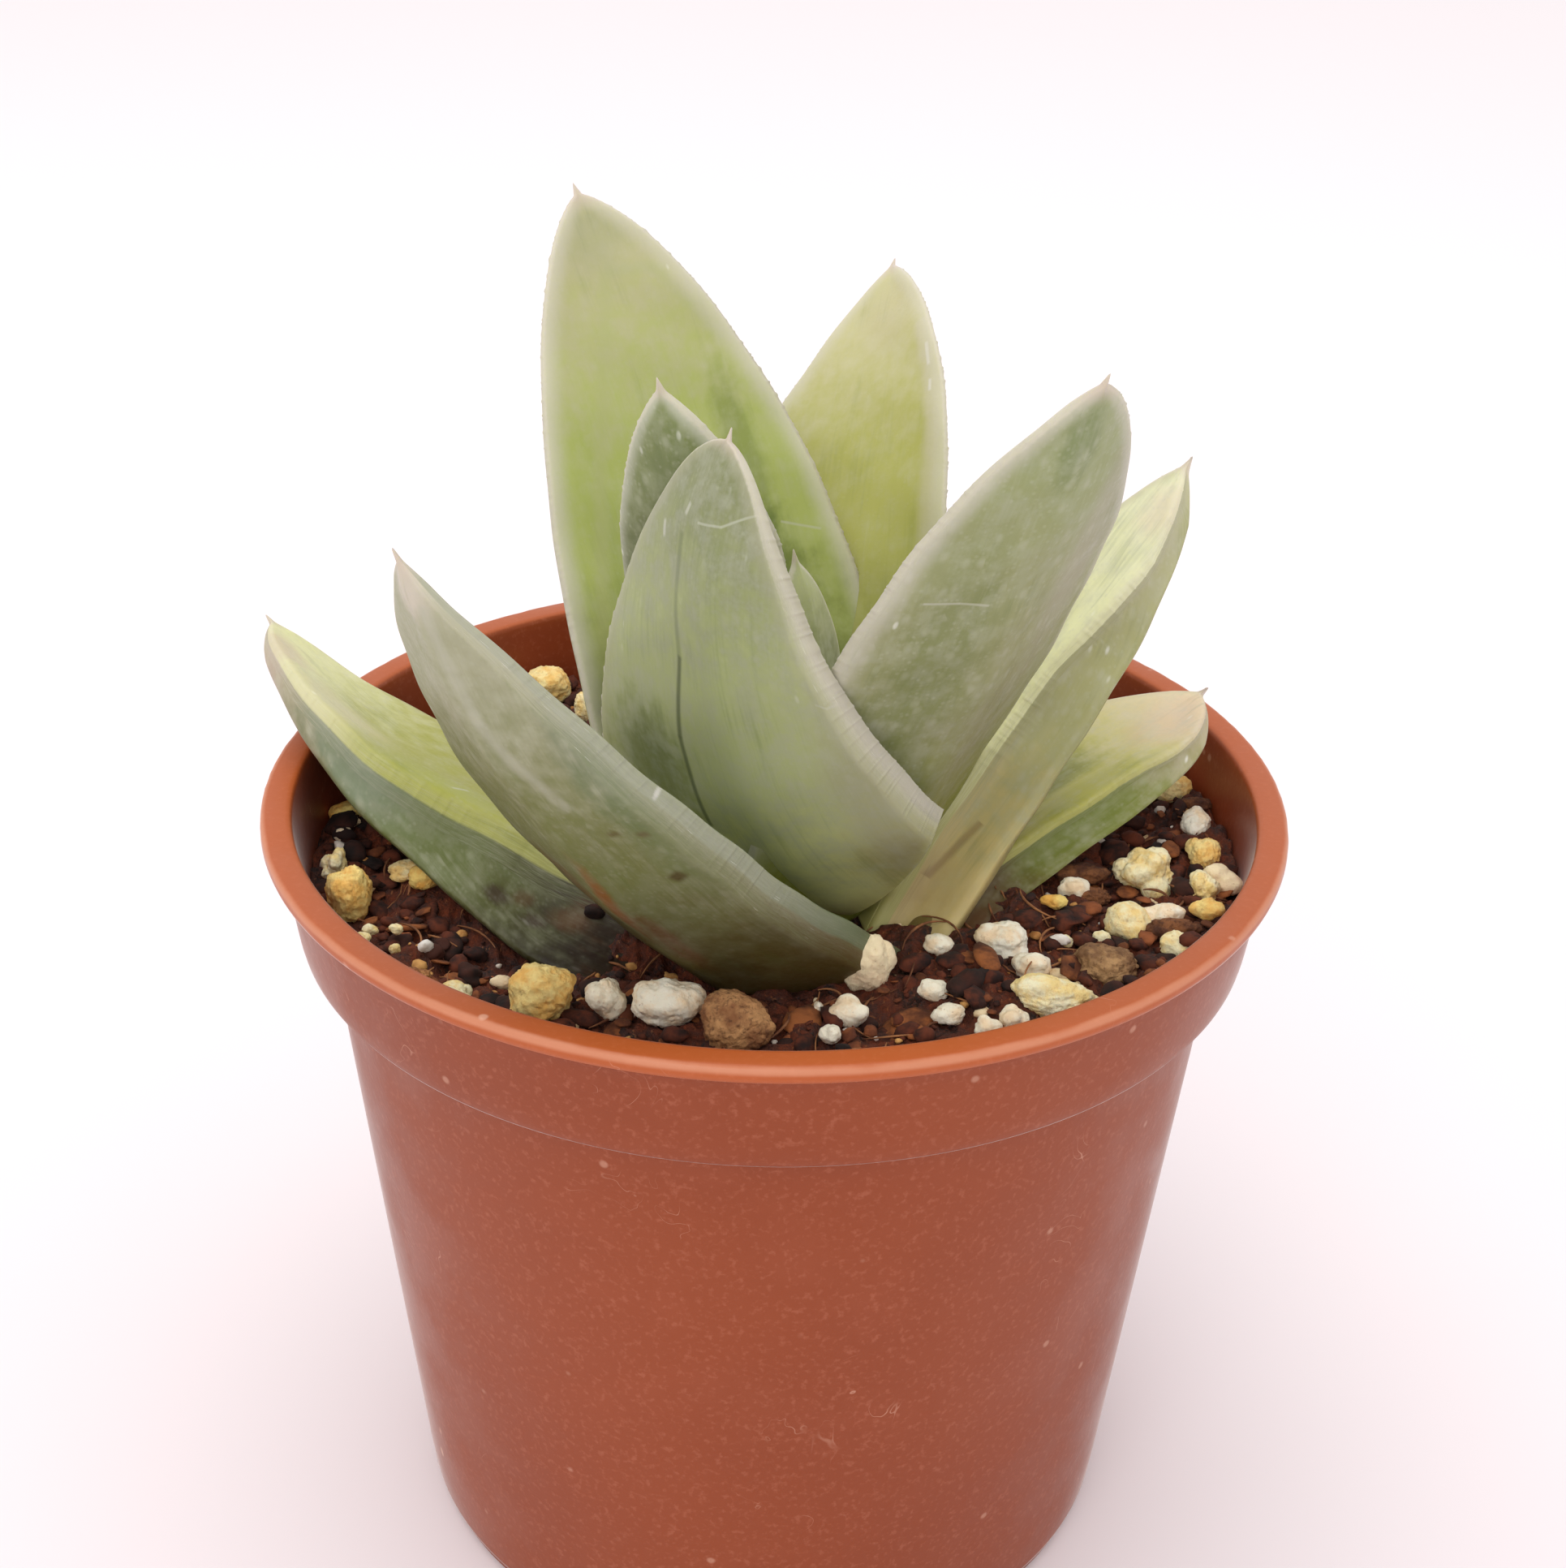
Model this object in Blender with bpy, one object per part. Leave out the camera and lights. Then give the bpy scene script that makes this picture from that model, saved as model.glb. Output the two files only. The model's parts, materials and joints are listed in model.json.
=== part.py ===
import math
import random

import bmesh
import bpy
import numpy as np
from mathutils import Vector, noise

# Potted gasteraloe in a round plastic nursery pot. Metres, +Z up.
# The origin is the bottom centre of the pot, and +Y is the far side of the photo.
# Sizes below are in millimetres and MM turns them into metres.
MM = 0.001
GAP = 0.3

# Pot: lip, band under the lip, step, tapered body and foot.
RIM_RADIUS = 42.5
POT_HEIGHT = 69.0
LIP_WIDTH = 2.6
LIP_DEPTH = 1.6
BAND_TOP_RADIUS = 41.2
BAND_LOW_RADIUS = 40.0
BAND_DEPTH = 10.3
BODY_TOP_RADIUS = 37.7
BASE_RADIUS = 31.2
WALL = 1.1
FOOT_HEIGHT = 1.4
FLOOR_LIFT = 2.0
FLOOR_THICK = 1.5
DRAIN_RADIUS = 3.2
DRAIN_CIRCLE = 19.0
DRAIN_COUNT = 6
POT_SIDES = 64

# Potting mix: a plug with a heaped, uneven top.
SOIL_LEVEL = 62.6
SOIL_BOTTOM = 5.0
SOIL_SIDES = 40

# Plant: the axis of the short stem and the plane where the leaves start.
STEM_X = 4.0
STEM_Y = -6.5
STEM_RADIUS = 4.6
STEM_TOP = 58.6
STEM_LOW = 44.0

# Leaf cross section and lengthwise divisions.
LEAF_STATIONS = 17
MARGIN_HALF = 0.38
TIP_LENGTH = 0.1

# Each leaf: length and width in mm, angles in degrees.
# azimuth is measured from +X towards +Y, lean from the vertical, and roll is a
# turn about the leaf's own midline. The first angle is at the foot, the second at the tip.
# widest and foot_share shape the outline, taper and fullness set how full the tip is.
# foot is the distance from the stem axis and level the height of the foot.
# foot_side is the side of the stem that carries the foot, where it isn't the leaf's own azimuth.
LEAVES = [
    dict(name="leaf_front_left", length=55, width=24, azimuth=(232, 206),
         lean=(50, 27), roll=(17, 12), widest=0.55, foot_share=0.94,
         taper=1.85, foot=5.8, level=60.0, thick=6.0, channel=0.10, keel=0.14),
    dict(name="leaf_front_centre", length=47.6, width=30.9, azimuth=(240, 213.6),
         lean=(51, -12.5), roll=(26, -4), widest=0.10, foot_share=0.95,
         taper=1.63, foot=-2.3, level=63.1, thick=5.0, channel=0.10, keel=0.17, fullness=0.52),
    dict(name="leaf_low_left", length=50.2, width=21.9, azimuth=(167.7, 140.5),
         lean=(78.3, 63), roll=(-12, 38), widest=0.55, foot_share=0.84,
         taper=2.4, foot=6.9, level=60.7, thick=5.6, channel=0.10, keel=0.32),
    dict(name="leaf_front_right", length=59.5, width=23.5, azimuth=(314, 307),
         lean=(25, 31), roll=(-4, -2), widest=0.47, foot_share=0.82,
         taper=2.2, foot=-1.0, level=61.2, thick=5.0, channel=0.10, keel=0.0),
    dict(name="leaf_right", length=45.7, width=14.4, azimuth=(16, 25),
         lean=(32, 39), roll=(-6, 5), widest=0.47, foot_share=0.79,
         taper=2.25, foot=4.2, level=59.7, thick=6.0, channel=0.10, keel=0.14),
    dict(name="leaf_low_right", length=35.5, width=18.2, azimuth=(21, 38),
         lean=(61, 77), roll=(-7, -7), widest=0.57, foot_share=0.75,
         taper=2.4, foot=5.4, level=60.2, thick=6.0, channel=0.10, keel=0.08),
    dict(name="leaf_inner_left", length=45.6, width=18.9, azimuth=(217, 218),
         lean=(10.7, 18.9), roll=(11, 26), widest=0.46, foot_share=0.66,
         taper=1.95, foot=5.7, foot_side=135, level=63.0, thick=3.0, channel=0.10, keel=0.10),
    dict(name="leaf_tall_back_left", length=61.5, width=27.2, azimuth=(125, 136),
         lean=(23.5, 33), roll=(-7, -16), widest=0.28, foot_share=0.82,
         taper=2.0, foot=4.4, level=59.9, thick=5.0, channel=0.15, keel=0.10),
    dict(name="leaf_back_right", length=58.5, width=20.6, azimuth=(92, 72),
         lean=(23, 60), roll=(2, -41), widest=0.54, foot_share=0.80,
         taper=2.5, foot=5.8, level=60.4, thick=5.0, channel=0.15, keel=0.10),
    dict(name="leaf_heart", length=30, width=8.0, azimuth=(330, 330),
         lean=(-2, -8), roll=(2, -4), widest=0.48, foot_share=0.80,
         taper=2.4, foot=0.0, level=62.1, thick=2.0, channel=0.10, keel=0.10),
]

# Fleshy roots: direction, reach, drop and thickness at the stem, in degrees and mm.
ROOTS = [
    dict(azimuth=20, reach=22, drop=26, radius=1.9),
    dict(azimuth=85, reach=20, drop=32, radius=1.7),
    dict(azimuth=150, reach=24, drop=28, radius=2.0),
    dict(azimuth=215, reach=19, drop=34, radius=1.8),
    dict(azimuth=290, reach=17, drop=30, radius=1.7),
]

# Grit lying on the potting mix: centre x, y and size along x, y, z, all in mm.
# sink is the share of the height that lies below the surface of the mix.
GRIT = [
    dict(name="pumice_front_left", at=(-17.6, -23.9), size=(5.5, 5.0, 5.0), sink=0.30, kind="pumice", seed=3),
    dict(name="perlite_front_left", at=(-12.6, -24.0), size=(3.3, 3.3, 3.8), sink=0.35, kind="perlite", seed=5),
    dict(name="perlite_cluster", at=(-8.1, -25.3), size=(5.8, 4.6, 4.2), sink=0.35, kind="perlite", seed=8),
    dict(name="clay_lump", at=(-2.5, -28.0), size=(6.4, 5.4, 5.0), sink=0.42, kind="clay", seed=11),
    dict(name="perlite_upright", at=(8.6, -20.9), size=(3.6, 3.0, 5.0), sink=0.30, kind="perlite", seed=14),
    dict(name="perlite_front_right", at=(18.5, -14.9), size=(4.9, 4.0, 3.8), sink=0.35, kind="perlite", seed=17),
    dict(name="pumice_cream", at=(21.6, -24.0), size=(7.0, 4.4, 3.6), sink=0.40, kind="pumice", seed=21),
    dict(name="clay_fuzzy", at=(26.3, -18.8), size=(5.6, 4.6, 3.6), sink=0.45, kind="clay", seed=25),
    dict(name="pumice_right_rough", at=(31.2, -4.0), size=(5.6, 4.6, 4.4), sink=0.35, kind="pumice", seed=28),
    dict(name="pumice_right_orange", at=(36.4, -1.0), size=(3.2, 4.2, 3.0), sink=0.35, kind="pumice", seed=31),
    dict(name="pumice_right_cream", at=(35.5, -7.4), size=(3.0, 3.6, 3.6), sink=0.35, kind="pumice", seed=34),
    dict(name="perlite_right", at=(36.5, 4.6), size=(3.2, 3.4, 2.8), sink=0.35, kind="perlite", seed=37),
    dict(name="pumice_right_wall", at=(35.0, 11.0), size=(4.4, 3.8, 3.0), sink=0.35, kind="pumice", seed=40),
    dict(name="perlite_right_low", at=(31.4, -11.4), size=(3.6, 3.0, 2.6), sink=0.40, kind="perlite", seed=43),
    dict(name="bark_right", at=(26.0, -6.6), size=(4.4, 2.4, 1.8), sink=0.45, kind="bark", seed=46),
    dict(name="pumice_left_orange", at=(-34.6, -9.4), size=(3.8, 4.6, 5.4), sink=0.30, kind="pumice", seed=49),
    dict(name="pumice_left_wall", at=(-36.6, -4.2), size=(2.6, 3.2, 3.0), sink=0.35, kind="pumice", seed=52),
    dict(name="pumice_left_flat", at=(-30.6, -4.6), size=(4.0, 3.0, 1.9), sink=0.40, kind="pumice", seed=55),
    dict(name="clay_left", at=(-27.8, -21.6), size=(3.0, 2.8, 2.6), sink=0.40, kind="clay", seed=58),
    dict(name="pumice_front_crumb", at=(-24.2, -24.4), size=(3.2, 2.6, 2.4), sink=0.35, kind="pumice", seed=61),
    dict(name="pumice_back_left", at=(-22.0, 28.6), size=(5.4, 4.4, 3.8), sink=0.10, kind="pumice", seed=64),
    dict(name="pumice_back_crumb", at=(-17.4, 24.4), size=(3.6, 3.2, 3.6), sink=0.25, kind="pumice", seed=67),
    dict(name="pumice_back_right", at=(27.0, 25.6), size=(4.4, 3.6, 3.0), sink=0.30, kind="pumice", seed=70),
]

PALETTE = {
    "terracotta_plastic": (0.36, 0.11, 0.055),
    "potting_mix": (0.045, 0.022, 0.014),
    "stem_and_roots": (0.42, 0.30, 0.17),
    "leaf_grey_green": (0.30, 0.37, 0.22),
    "leaf_yellow_green": (0.42, 0.45, 0.13),
    "perlite": (0.75, 0.72, 0.68),
    "pumice": (0.62, 0.43, 0.19),
    "clay": (0.20, 0.11, 0.07),
    "bark": (0.12, 0.06, 0.035),
}


def clear_scene():
    for obj in list(bpy.data.objects):
        bpy.data.objects.remove(obj, do_unlink=True)


def material_for(node, colour, roughness):
    made = bpy.data.materials.new(node)
    made.use_nodes = True
    shader = made.node_tree.nodes["Principled BSDF"]
    red, green, blue = PALETTE[colour]
    shader.inputs["Base Color"].default_value = (red, green, blue, 1.0)
    shader.inputs["Roughness"].default_value = roughness
    return made


def mesh_object(name, points, faces, colour, roughness, smooth=True):
    # The points are in millimetres.
    mesh = bpy.data.meshes.new(name)
    verts = [(x * MM, y * MM, z * MM) for x, y, z in points]
    mesh.from_pydata(verts, [], faces)
    mesh.update()
    shell = bmesh.new()
    shell.from_mesh(mesh)
    bmesh.ops.recalc_face_normals(shell, faces=shell.faces)
    bmesh.ops.triangulate(shell, faces=shell.faces)
    shell.to_mesh(mesh)
    shell.free()
    for face in mesh.polygons:
        face.use_smooth = smooth
    made = bpy.data.objects.new(name, mesh)
    bpy.context.collection.objects.link(made)
    if colour is not None:
        mesh.materials.append(material_for(name, colour, roughness))
    return made


def ring_faces(first, second, count):
    faces = []
    for i in range(count):
        j = (i + 1) % count
        faces.append((first + i, first + j, second + j, second + i))
    return faces


def lathe(name, profile, sides, colour, roughness):
    # The profile is a closed loop of (radius, height); a radius of 0 is a point on the axis.
    points = []
    starts = []
    for radius, height in profile:
        starts.append(len(points))
        if radius == 0:
            points.append((0.0, 0.0, height))
            continue
        for i in range(sides):
            turn = 2 * math.pi * i / sides
            points.append((radius * math.cos(turn), radius * math.sin(turn), height))
    faces = []
    for k in range(len(profile)):
        nxt = (k + 1) % len(profile)
        one = profile[k][0]
        two = profile[nxt][0]
        if one == 0 and two == 0:
            continue
        if one == 0:
            for i in range(sides):
                faces.append((starts[k], starts[nxt] + (i + 1) % sides, starts[nxt] + i))
        elif two == 0:
            for i in range(sides):
                faces.append((starts[nxt], starts[k] + i, starts[k] + (i + 1) % sides))
        else:
            faces += ring_faces(starts[k], starts[nxt], sides)
    return mesh_object(name, points, faces, colour, roughness)


def cutter(obj):
    obj.hide_render = True
    obj.display_type = "WIRE"
    return obj


def cut(target, tool):
    modifier = target.modifiers.new("cut_" + tool.name, "BOOLEAN")
    modifier.operation = "DIFFERENCE"
    modifier.solver = "EXACT"
    modifier.object = tool


def realise(obj):
    # Turns the modifiers into plain geometry and keeps only the largest body.
    graph = bpy.context.evaluated_depsgraph_get()
    bpy.context.view_layer.update()
    solid = bpy.data.meshes.new_from_object(obj.evaluated_get(graph), depsgraph=graph)
    obj.modifiers.clear()
    obj.data = solid
    shell = bmesh.new()
    shell.from_mesh(solid)
    bmesh.ops.remove_doubles(shell, verts=shell.verts, dist=0.00002)
    bmesh.ops.dissolve_degenerate(shell, edges=shell.edges, dist=0.00001)
    islands = islands_of(shell)
    islands.sort(key=lambda faces: sum(face.calc_area() for face in faces))
    for faces in islands[:-1]:
        bmesh.ops.delete(shell, geom=faces, context="FACES")
    loose = [vert for vert in shell.verts if not vert.link_faces]
    bmesh.ops.delete(shell, geom=loose, context="VERTS")
    bmesh.ops.triangulate(shell, faces=shell.faces)
    shell.to_mesh(solid)
    shell.free()
    solid.update()


def islands_of(shell):
    left = set(shell.faces)
    islands = []
    while left:
        seed = left.pop()
        group = [seed]
        queue = [seed]
        while queue:
            face = queue.pop()
            for edge in face.edges:
                for other in edge.link_faces:
                    if other in left:
                        left.remove(other)
                        group.append(other)
                        queue.append(other)
        islands.append(group)
    return islands


def outer_wall_radius(height):
    # Radius of the pot's outside below the band.
    share = (height - FOOT_HEIGHT) / (POT_HEIGHT - BAND_DEPTH - FOOT_HEIGHT)
    return BASE_RADIUS + 0.5 + (BODY_TOP_RADIUS - BASE_RADIUS - 0.5) * share


def inner_wall_radius(height):
    # Radius of the pot's inside, which steps out behind the band.
    step = POT_HEIGHT - BAND_DEPTH
    if height >= step + 0.6:
        share = (height - step) / BAND_DEPTH
        return BAND_LOW_RADIUS - WALL + (BAND_TOP_RADIUS - BAND_LOW_RADIUS - 0.1) * share
    if height <= step - 1.0:
        return outer_wall_radius(height) - WALL
    low = outer_wall_radius(step - 1.0) - WALL
    high = BAND_LOW_RADIUS - WALL + 0.06
    return low + (high - low) * (height - step + 1.0) / 1.6


def build_pot():
    step = POT_HEIGHT - BAND_DEPTH
    top = POT_HEIGHT
    floor_top = FLOOR_LIFT + FLOOR_THICK
    profile = [
        (0, FLOOR_LIFT),
        (BASE_RADIUS - 3.4, FLOOR_LIFT),
        (BASE_RADIUS - 3.0, 0.0),
        (BASE_RADIUS - 0.5, 0.0),
        (BASE_RADIUS, 0.5),
        (BASE_RADIUS, FOOT_HEIGHT - 0.3),
        (BASE_RADIUS + 0.5, FOOT_HEIGHT),
        (outer_wall_radius(step * 0.5), step * 0.5),
        (BODY_TOP_RADIUS - 0.1, step - 1.0),
        (BODY_TOP_RADIUS + 0.4, step - 0.3),
        (BAND_LOW_RADIUS - 0.5, step - 0.1),
        (BAND_LOW_RADIUS, step + 0.4),
        (BAND_TOP_RADIUS, top - LIP_DEPTH),
        (RIM_RADIUS - 0.3, top - LIP_DEPTH + 0.3),
        (RIM_RADIUS, top - 0.8),
        (RIM_RADIUS - 0.4, top - 0.1),
        (RIM_RADIUS - 0.9, top),
        (RIM_RADIUS - LIP_WIDTH + 0.4, top),
        (RIM_RADIUS - LIP_WIDTH, top - 0.4),
        (inner_wall_radius(step + 0.7), step + 0.7),
        (inner_wall_radius(step - 1.0), step - 1.0),
        (inner_wall_radius(6.0), 6.0),
        (BASE_RADIUS - WALL - 1.4, floor_top),
        (0, floor_top),
    ]
    pot = lathe("pot", profile, POT_SIDES, "terracotta_plastic", 0.45)
    for i in range(DRAIN_COUNT):
        turn = 2 * math.pi * (i + 0.5) / DRAIN_COUNT
        x = DRAIN_CIRCLE * math.cos(turn)
        y = DRAIN_CIRCLE * math.sin(turn)
        drill = round_bar("drain_drill_%d" % i, (x, y, -1.0), (x, y, floor_top + 2.0), DRAIN_RADIUS, 16)
        cut(pot, cutter(drill))
    centre = round_bar("drain_drill_centre", (0, 0, -1.0), (0, 0, floor_top + 2.0), DRAIN_RADIUS, 16)
    cut(pot, cutter(centre))
    return pot


def round_bar(name, start, end, radius, sides):
    points = []
    for x, y, z in (start, end):
        for i in range(sides):
            turn = 2 * math.pi * i / sides
            points.append((x + radius * math.cos(turn), y + radius * math.sin(turn), z))
    faces = ring_faces(0, sides, sides)
    faces.append(tuple(range(sides)))
    faces.append(tuple(range(2 * sides - 1, sides - 1, -1)))
    return mesh_object(name, points, faces, None, 0.5)


def soil_height(x, y):
    # Heaped a little towards the right and the back, sunk at the front left.
    bumps = 0.9 * noise.noise(Vector((x * 0.11, y * 0.11, 3.7)))
    bumps += 0.5 * noise.noise(Vector((x * 0.27, y * 0.27, 9.1)))
    tilt = 0.012 * x + 0.010 * y
    return SOIL_LEVEL + bumps + tilt


def build_soil():
    points = []
    faces = []
    shares = [0.2, 0.4, 0.58, 0.74, 0.87, 0.96, 1.0]
    points.append((0.0, 0.0, soil_height(0.0, 0.0)))
    for share in shares:
        for i in range(SOIL_SIDES):
            turn = 2 * math.pi * i / SOIL_SIDES
            radius = share * (inner_wall_radius(61.5) - GAP - 0.05)
            x = radius * math.cos(turn)
            y = radius * math.sin(turn)
            points.append((x, y, soil_height(x, y)))
    for i in range(SOIL_SIDES):
        faces.append((0, 1 + i, 1 + (i + 1) % SOIL_SIDES))
    for k in range(len(shares) - 1):
        faces += ring_faces(1 + k * SOIL_SIDES, 1 + (k + 1) * SOIL_SIDES, SOIL_SIDES)
    last = 1 + (len(shares) - 1) * SOIL_SIDES
    step = POT_HEIGHT - BAND_DEPTH
    for height in (step + 0.8, step - 1.1, SOIL_BOTTOM + 2.5, SOIL_BOTTOM):
        start = len(points)
        radius = inner_wall_radius(height) - GAP - 0.05
        if height == SOIL_BOTTOM:
            radius -= 1.8
        for i in range(SOIL_SIDES):
            turn = 2 * math.pi * i / SOIL_SIDES
            points.append((radius * math.cos(turn), radius * math.sin(turn), height))
        faces += ring_faces(last, start, SOIL_SIDES)
        last = start
    points.append((0.0, 0.0, SOIL_BOTTOM))
    for i in range(SOIL_SIDES):
        faces.append((len(points) - 1, last + (i + 1) % SOIL_SIDES, last + i))
    return mesh_object("soil", points, faces, "potting_mix", 0.95)


def direction(azimuth, lean):
    a = math.radians(azimuth)
    b = math.radians(lean)
    return Vector((math.sin(b) * math.cos(a), math.sin(b) * math.sin(a), math.cos(b)))


def mix(pair, share):
    return pair[0] + (pair[1] - pair[0]) * share


def width_share(t, leaf):
    if t < leaf["widest"]:
        rise = math.sin(math.pi / 2 * t / leaf["widest"])
        return leaf["foot_share"] + (1 - leaf["foot_share"]) * rise
    fall = (t - leaf["widest"]) / (1 - leaf["widest"])
    return max(0.0, 1 - fall ** leaf["taper"]) ** leaf.get("fullness", 0.8)


def thickness_share(t):
    if t < 0.15:
        return 0.8 + 0.2 * math.sin(math.pi / 2 * t / 0.15)
    fall = (t - 0.15) / 0.85
    return max(0.0, 1 - fall * fall) ** 0.8


def section(half_width, depth, leaf, grow):
    # Loop of the cross section: hollowed upper face first, then the keeled lower face.
    upper = (1.0, 0.72, 0.36, 0.0, -0.36, -0.72, -1.0)
    lower = (-0.92, -0.6, -0.3, 0.0, 0.3, 0.6, 0.92)
    keel = leaf["keel"]
    edge = min(MARGIN_HALF, 0.3 + 0.12 * half_width) + grow
    loop = []
    inner = max(half_width - 0.36, 0.02)
    for x in upper:
        y = -leaf["channel"] * inner * (1 - x * x) + 0.12 * depth * math.sqrt(max(0.0, 1 - x * x))
        loop.append((x * inner + (edge * 0.7 if x == 1.0 else -edge * 0.7 if x == -1.0 else 0.0), y + edge * 0.9))
    for x in lower:
        rise = max(0.0, 1 - abs(x - keel) / (1 + abs(keel))) ** 0.75
        loop.append((x * (inner + edge * 0.95), -depth * rise - edge * 0.9))
    return loop


def build_leaf(leaf, grow=0.0, suffix=""):
    # The midline is summed from short straight steps, as the lean and the azimuth change along it.
    steps = 60
    start_azimuth = math.radians(leaf.get("foot_side", leaf["azimuth"][0]))
    spot = Vector((STEM_X + leaf["foot"] * math.cos(start_azimuth),
                   STEM_Y + leaf["foot"] * math.sin(start_azimuth), leaf["level"]))
    midline = [spot.copy()]
    for i in range(steps):
        t = (i + 0.5) / steps
        spot = spot + direction(mix(leaf["azimuth"], t), mix(leaf["lean"], t)) * (leaf["length"] / steps)
        midline.append(spot.copy())
    points = []
    faces = []
    count = 14
    for k in range(LEAF_STATIONS):
        t = 0.985 * (k / (LEAF_STATIONS - 1)) ** 0.92
        low = min(int(t * steps), steps - 1)
        centre = midline[low].lerp(midline[low + 1], t * steps - low)
        azimuth = math.radians(mix(leaf["azimuth"], t))
        lean = math.radians(mix(leaf["lean"], t))
        along = direction(mix(leaf["azimuth"], t), mix(leaf["lean"], t))
        side = Vector((-math.sin(azimuth), math.cos(azimuth), 0.0))
        face = Vector((-math.cos(lean) * math.cos(azimuth), -math.cos(lean) * math.sin(azimuth), math.sin(lean)))
        roll = math.radians(mix(leaf["roll"], t))
        across = side * math.cos(roll) + face * math.sin(roll)
        upward = face * math.cos(roll) - side * math.sin(roll)
        if k == 0:
            centre = centre - along * grow
        half = leaf["width"] / 2 * width_share(t, leaf)
        depth = leaf["thick"] * thickness_share(t)
        for x, y in section(half, depth, leaf, grow):
            points.append(tuple(centre + across * x + upward * y))
        if k:
            faces += ring_faces((k - 1) * count, k * count, count)
    faces.append(tuple(range(count)))
    along = direction(leaf["azimuth"][1], leaf["lean"][1])
    points.append(tuple(midline[-1] + along * (TIP_LENGTH + grow)))
    last = (LEAF_STATIONS - 1) * count
    for i in range(count):
        faces.append((last + i, last + (i + 1) % count, len(points) - 1))
    colour = "leaf_grey_green"
    if leaf["name"] in ("leaf_tall_back_left", "leaf_back_right", "leaf_low_left", "leaf_right"):
        colour = "leaf_yellow_green"
    if suffix:
        return cutter(mesh_object(leaf["name"] + suffix, points, faces, None, 0.5))
    return mesh_object(leaf["name"], points, faces, colour, 0.5)


def tube(name, spine, radii, sides):
    points = []
    faces = []
    for k, centre in enumerate(spine):
        ahead = spine[min(k + 1, len(spine) - 1)] - spine[max(k - 1, 0)]
        ahead.normalize()
        side = ahead.orthogonal().normalized()
        if k:
            side = (last_side - ahead * last_side.dot(ahead)).normalized()
        last_side = side
        other = ahead.cross(side)
        for i in range(sides):
            turn = 2 * math.pi * i / sides
            offset = side * math.cos(turn) + other * math.sin(turn)
            points.append(tuple(centre + offset * radii[k]))
        if k:
            faces += ring_faces((k - 1) * sides, k * sides, sides)
    faces.append(tuple(range(sides)))
    last = (len(spine) - 1) * sides
    faces.append(tuple(range(last + sides - 1, last - 1, -1)))
    return mesh_object(name, points, faces, "stem_and_roots", 0.8)


def build_stem(grow=0.0, suffix=""):
    # A short fleshy stem whose foot carries thick tapering roots.
    axis = Vector((STEM_X, STEM_Y, 0.0))
    spine = [axis + Vector((0, 0, height)) for height in (STEM_TOP + grow, STEM_TOP - 1.0, 54.0, 49.0, STEM_LOW - grow)]
    radii = [STEM_RADIUS * 0.88 + grow, STEM_RADIUS + grow, STEM_RADIUS + grow, STEM_RADIUS * 0.8 + grow, STEM_RADIUS * 0.5 + grow]
    stem = tube("stem_with_roots" + suffix, spine, radii, 14)
    for n, root in enumerate(ROOTS):
        outward = direction(root["azimuth"], 90)
        sideways = direction(root["azimuth"] + 90, 90)
        path = []
        width = []
        for i in range(8):
            t = i / 7
            reach = root["reach"] * (t ** 0.8)
            fall = root["drop"] * (t ** 1.5)
            sway = 1.6 * math.sin(2.6 * math.pi * t + n) * t
            path.append(axis + Vector((0, 0, 50.5 - n * 0.8)) + outward * reach + sideways * sway - Vector((0, 0, fall)))
            width.append(root["radius"] * (1 - 0.62 * t) + grow)
        path[0] = path[0] - outward * 1.0
        limb = tube("root_%d" % n + suffix, path, width, 8)
        limb.hide_render = True
        limb.display_type = "WIRE"
        modifier = stem.modifiers.new("join_root_%d" % n, "BOOLEAN")
        modifier.operation = "UNION"
        modifier.solver = "EXACT"
        modifier.object = limb
    realise(stem)
    if suffix:
        cutter(stem)
    return stem


def build_grit(grain, grow=0.0, suffix=""):
    # An angular lump: a ball of triangles pushed in and out by noise.
    shell = bmesh.new()
    bmesh.ops.create_icosphere(shell, subdivisions=2, radius=1.0)
    x, y = grain["at"]
    size = grain["size"]
    lift = size[2] * (0.5 - grain["sink"])
    centre = Vector((x, y, soil_height(x, y) + lift))
    dice = random.Random(grain["seed"])
    turn = dice.uniform(0, math.pi)
    points = []
    for vert in shell.verts:
        unit = vert.co.normalized()
        probe = unit * 1.3 + Vector((grain["seed"] * 1.7, 0.0, 0.0))
        swell = 1.0 + 0.22 * noise.noise(probe) + 0.12 * noise.noise(probe * 2.3)
        p = Vector((unit.x * size[0] / 2, unit.y * size[1] / 2, unit.z * size[2] / 2)) * swell
        p = p + unit * grow
        points.append(tuple(centre + p))
    faces = [tuple(vert.index for vert in face.verts) for face in shell.faces]
    shell.free()
    name = grain["name"] + suffix
    if suffix:
        return cutter(mesh_object(name, points, faces, None, 0.5))
    return mesh_object(name, points, faces, grain["kind"], 0.9, smooth=False)


def remove_tools(names):
    for name in names:
        old = bpy.data.objects.get(name)
        if old is not None:
            bpy.data.objects.remove(old, do_unlink=True)


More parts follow.
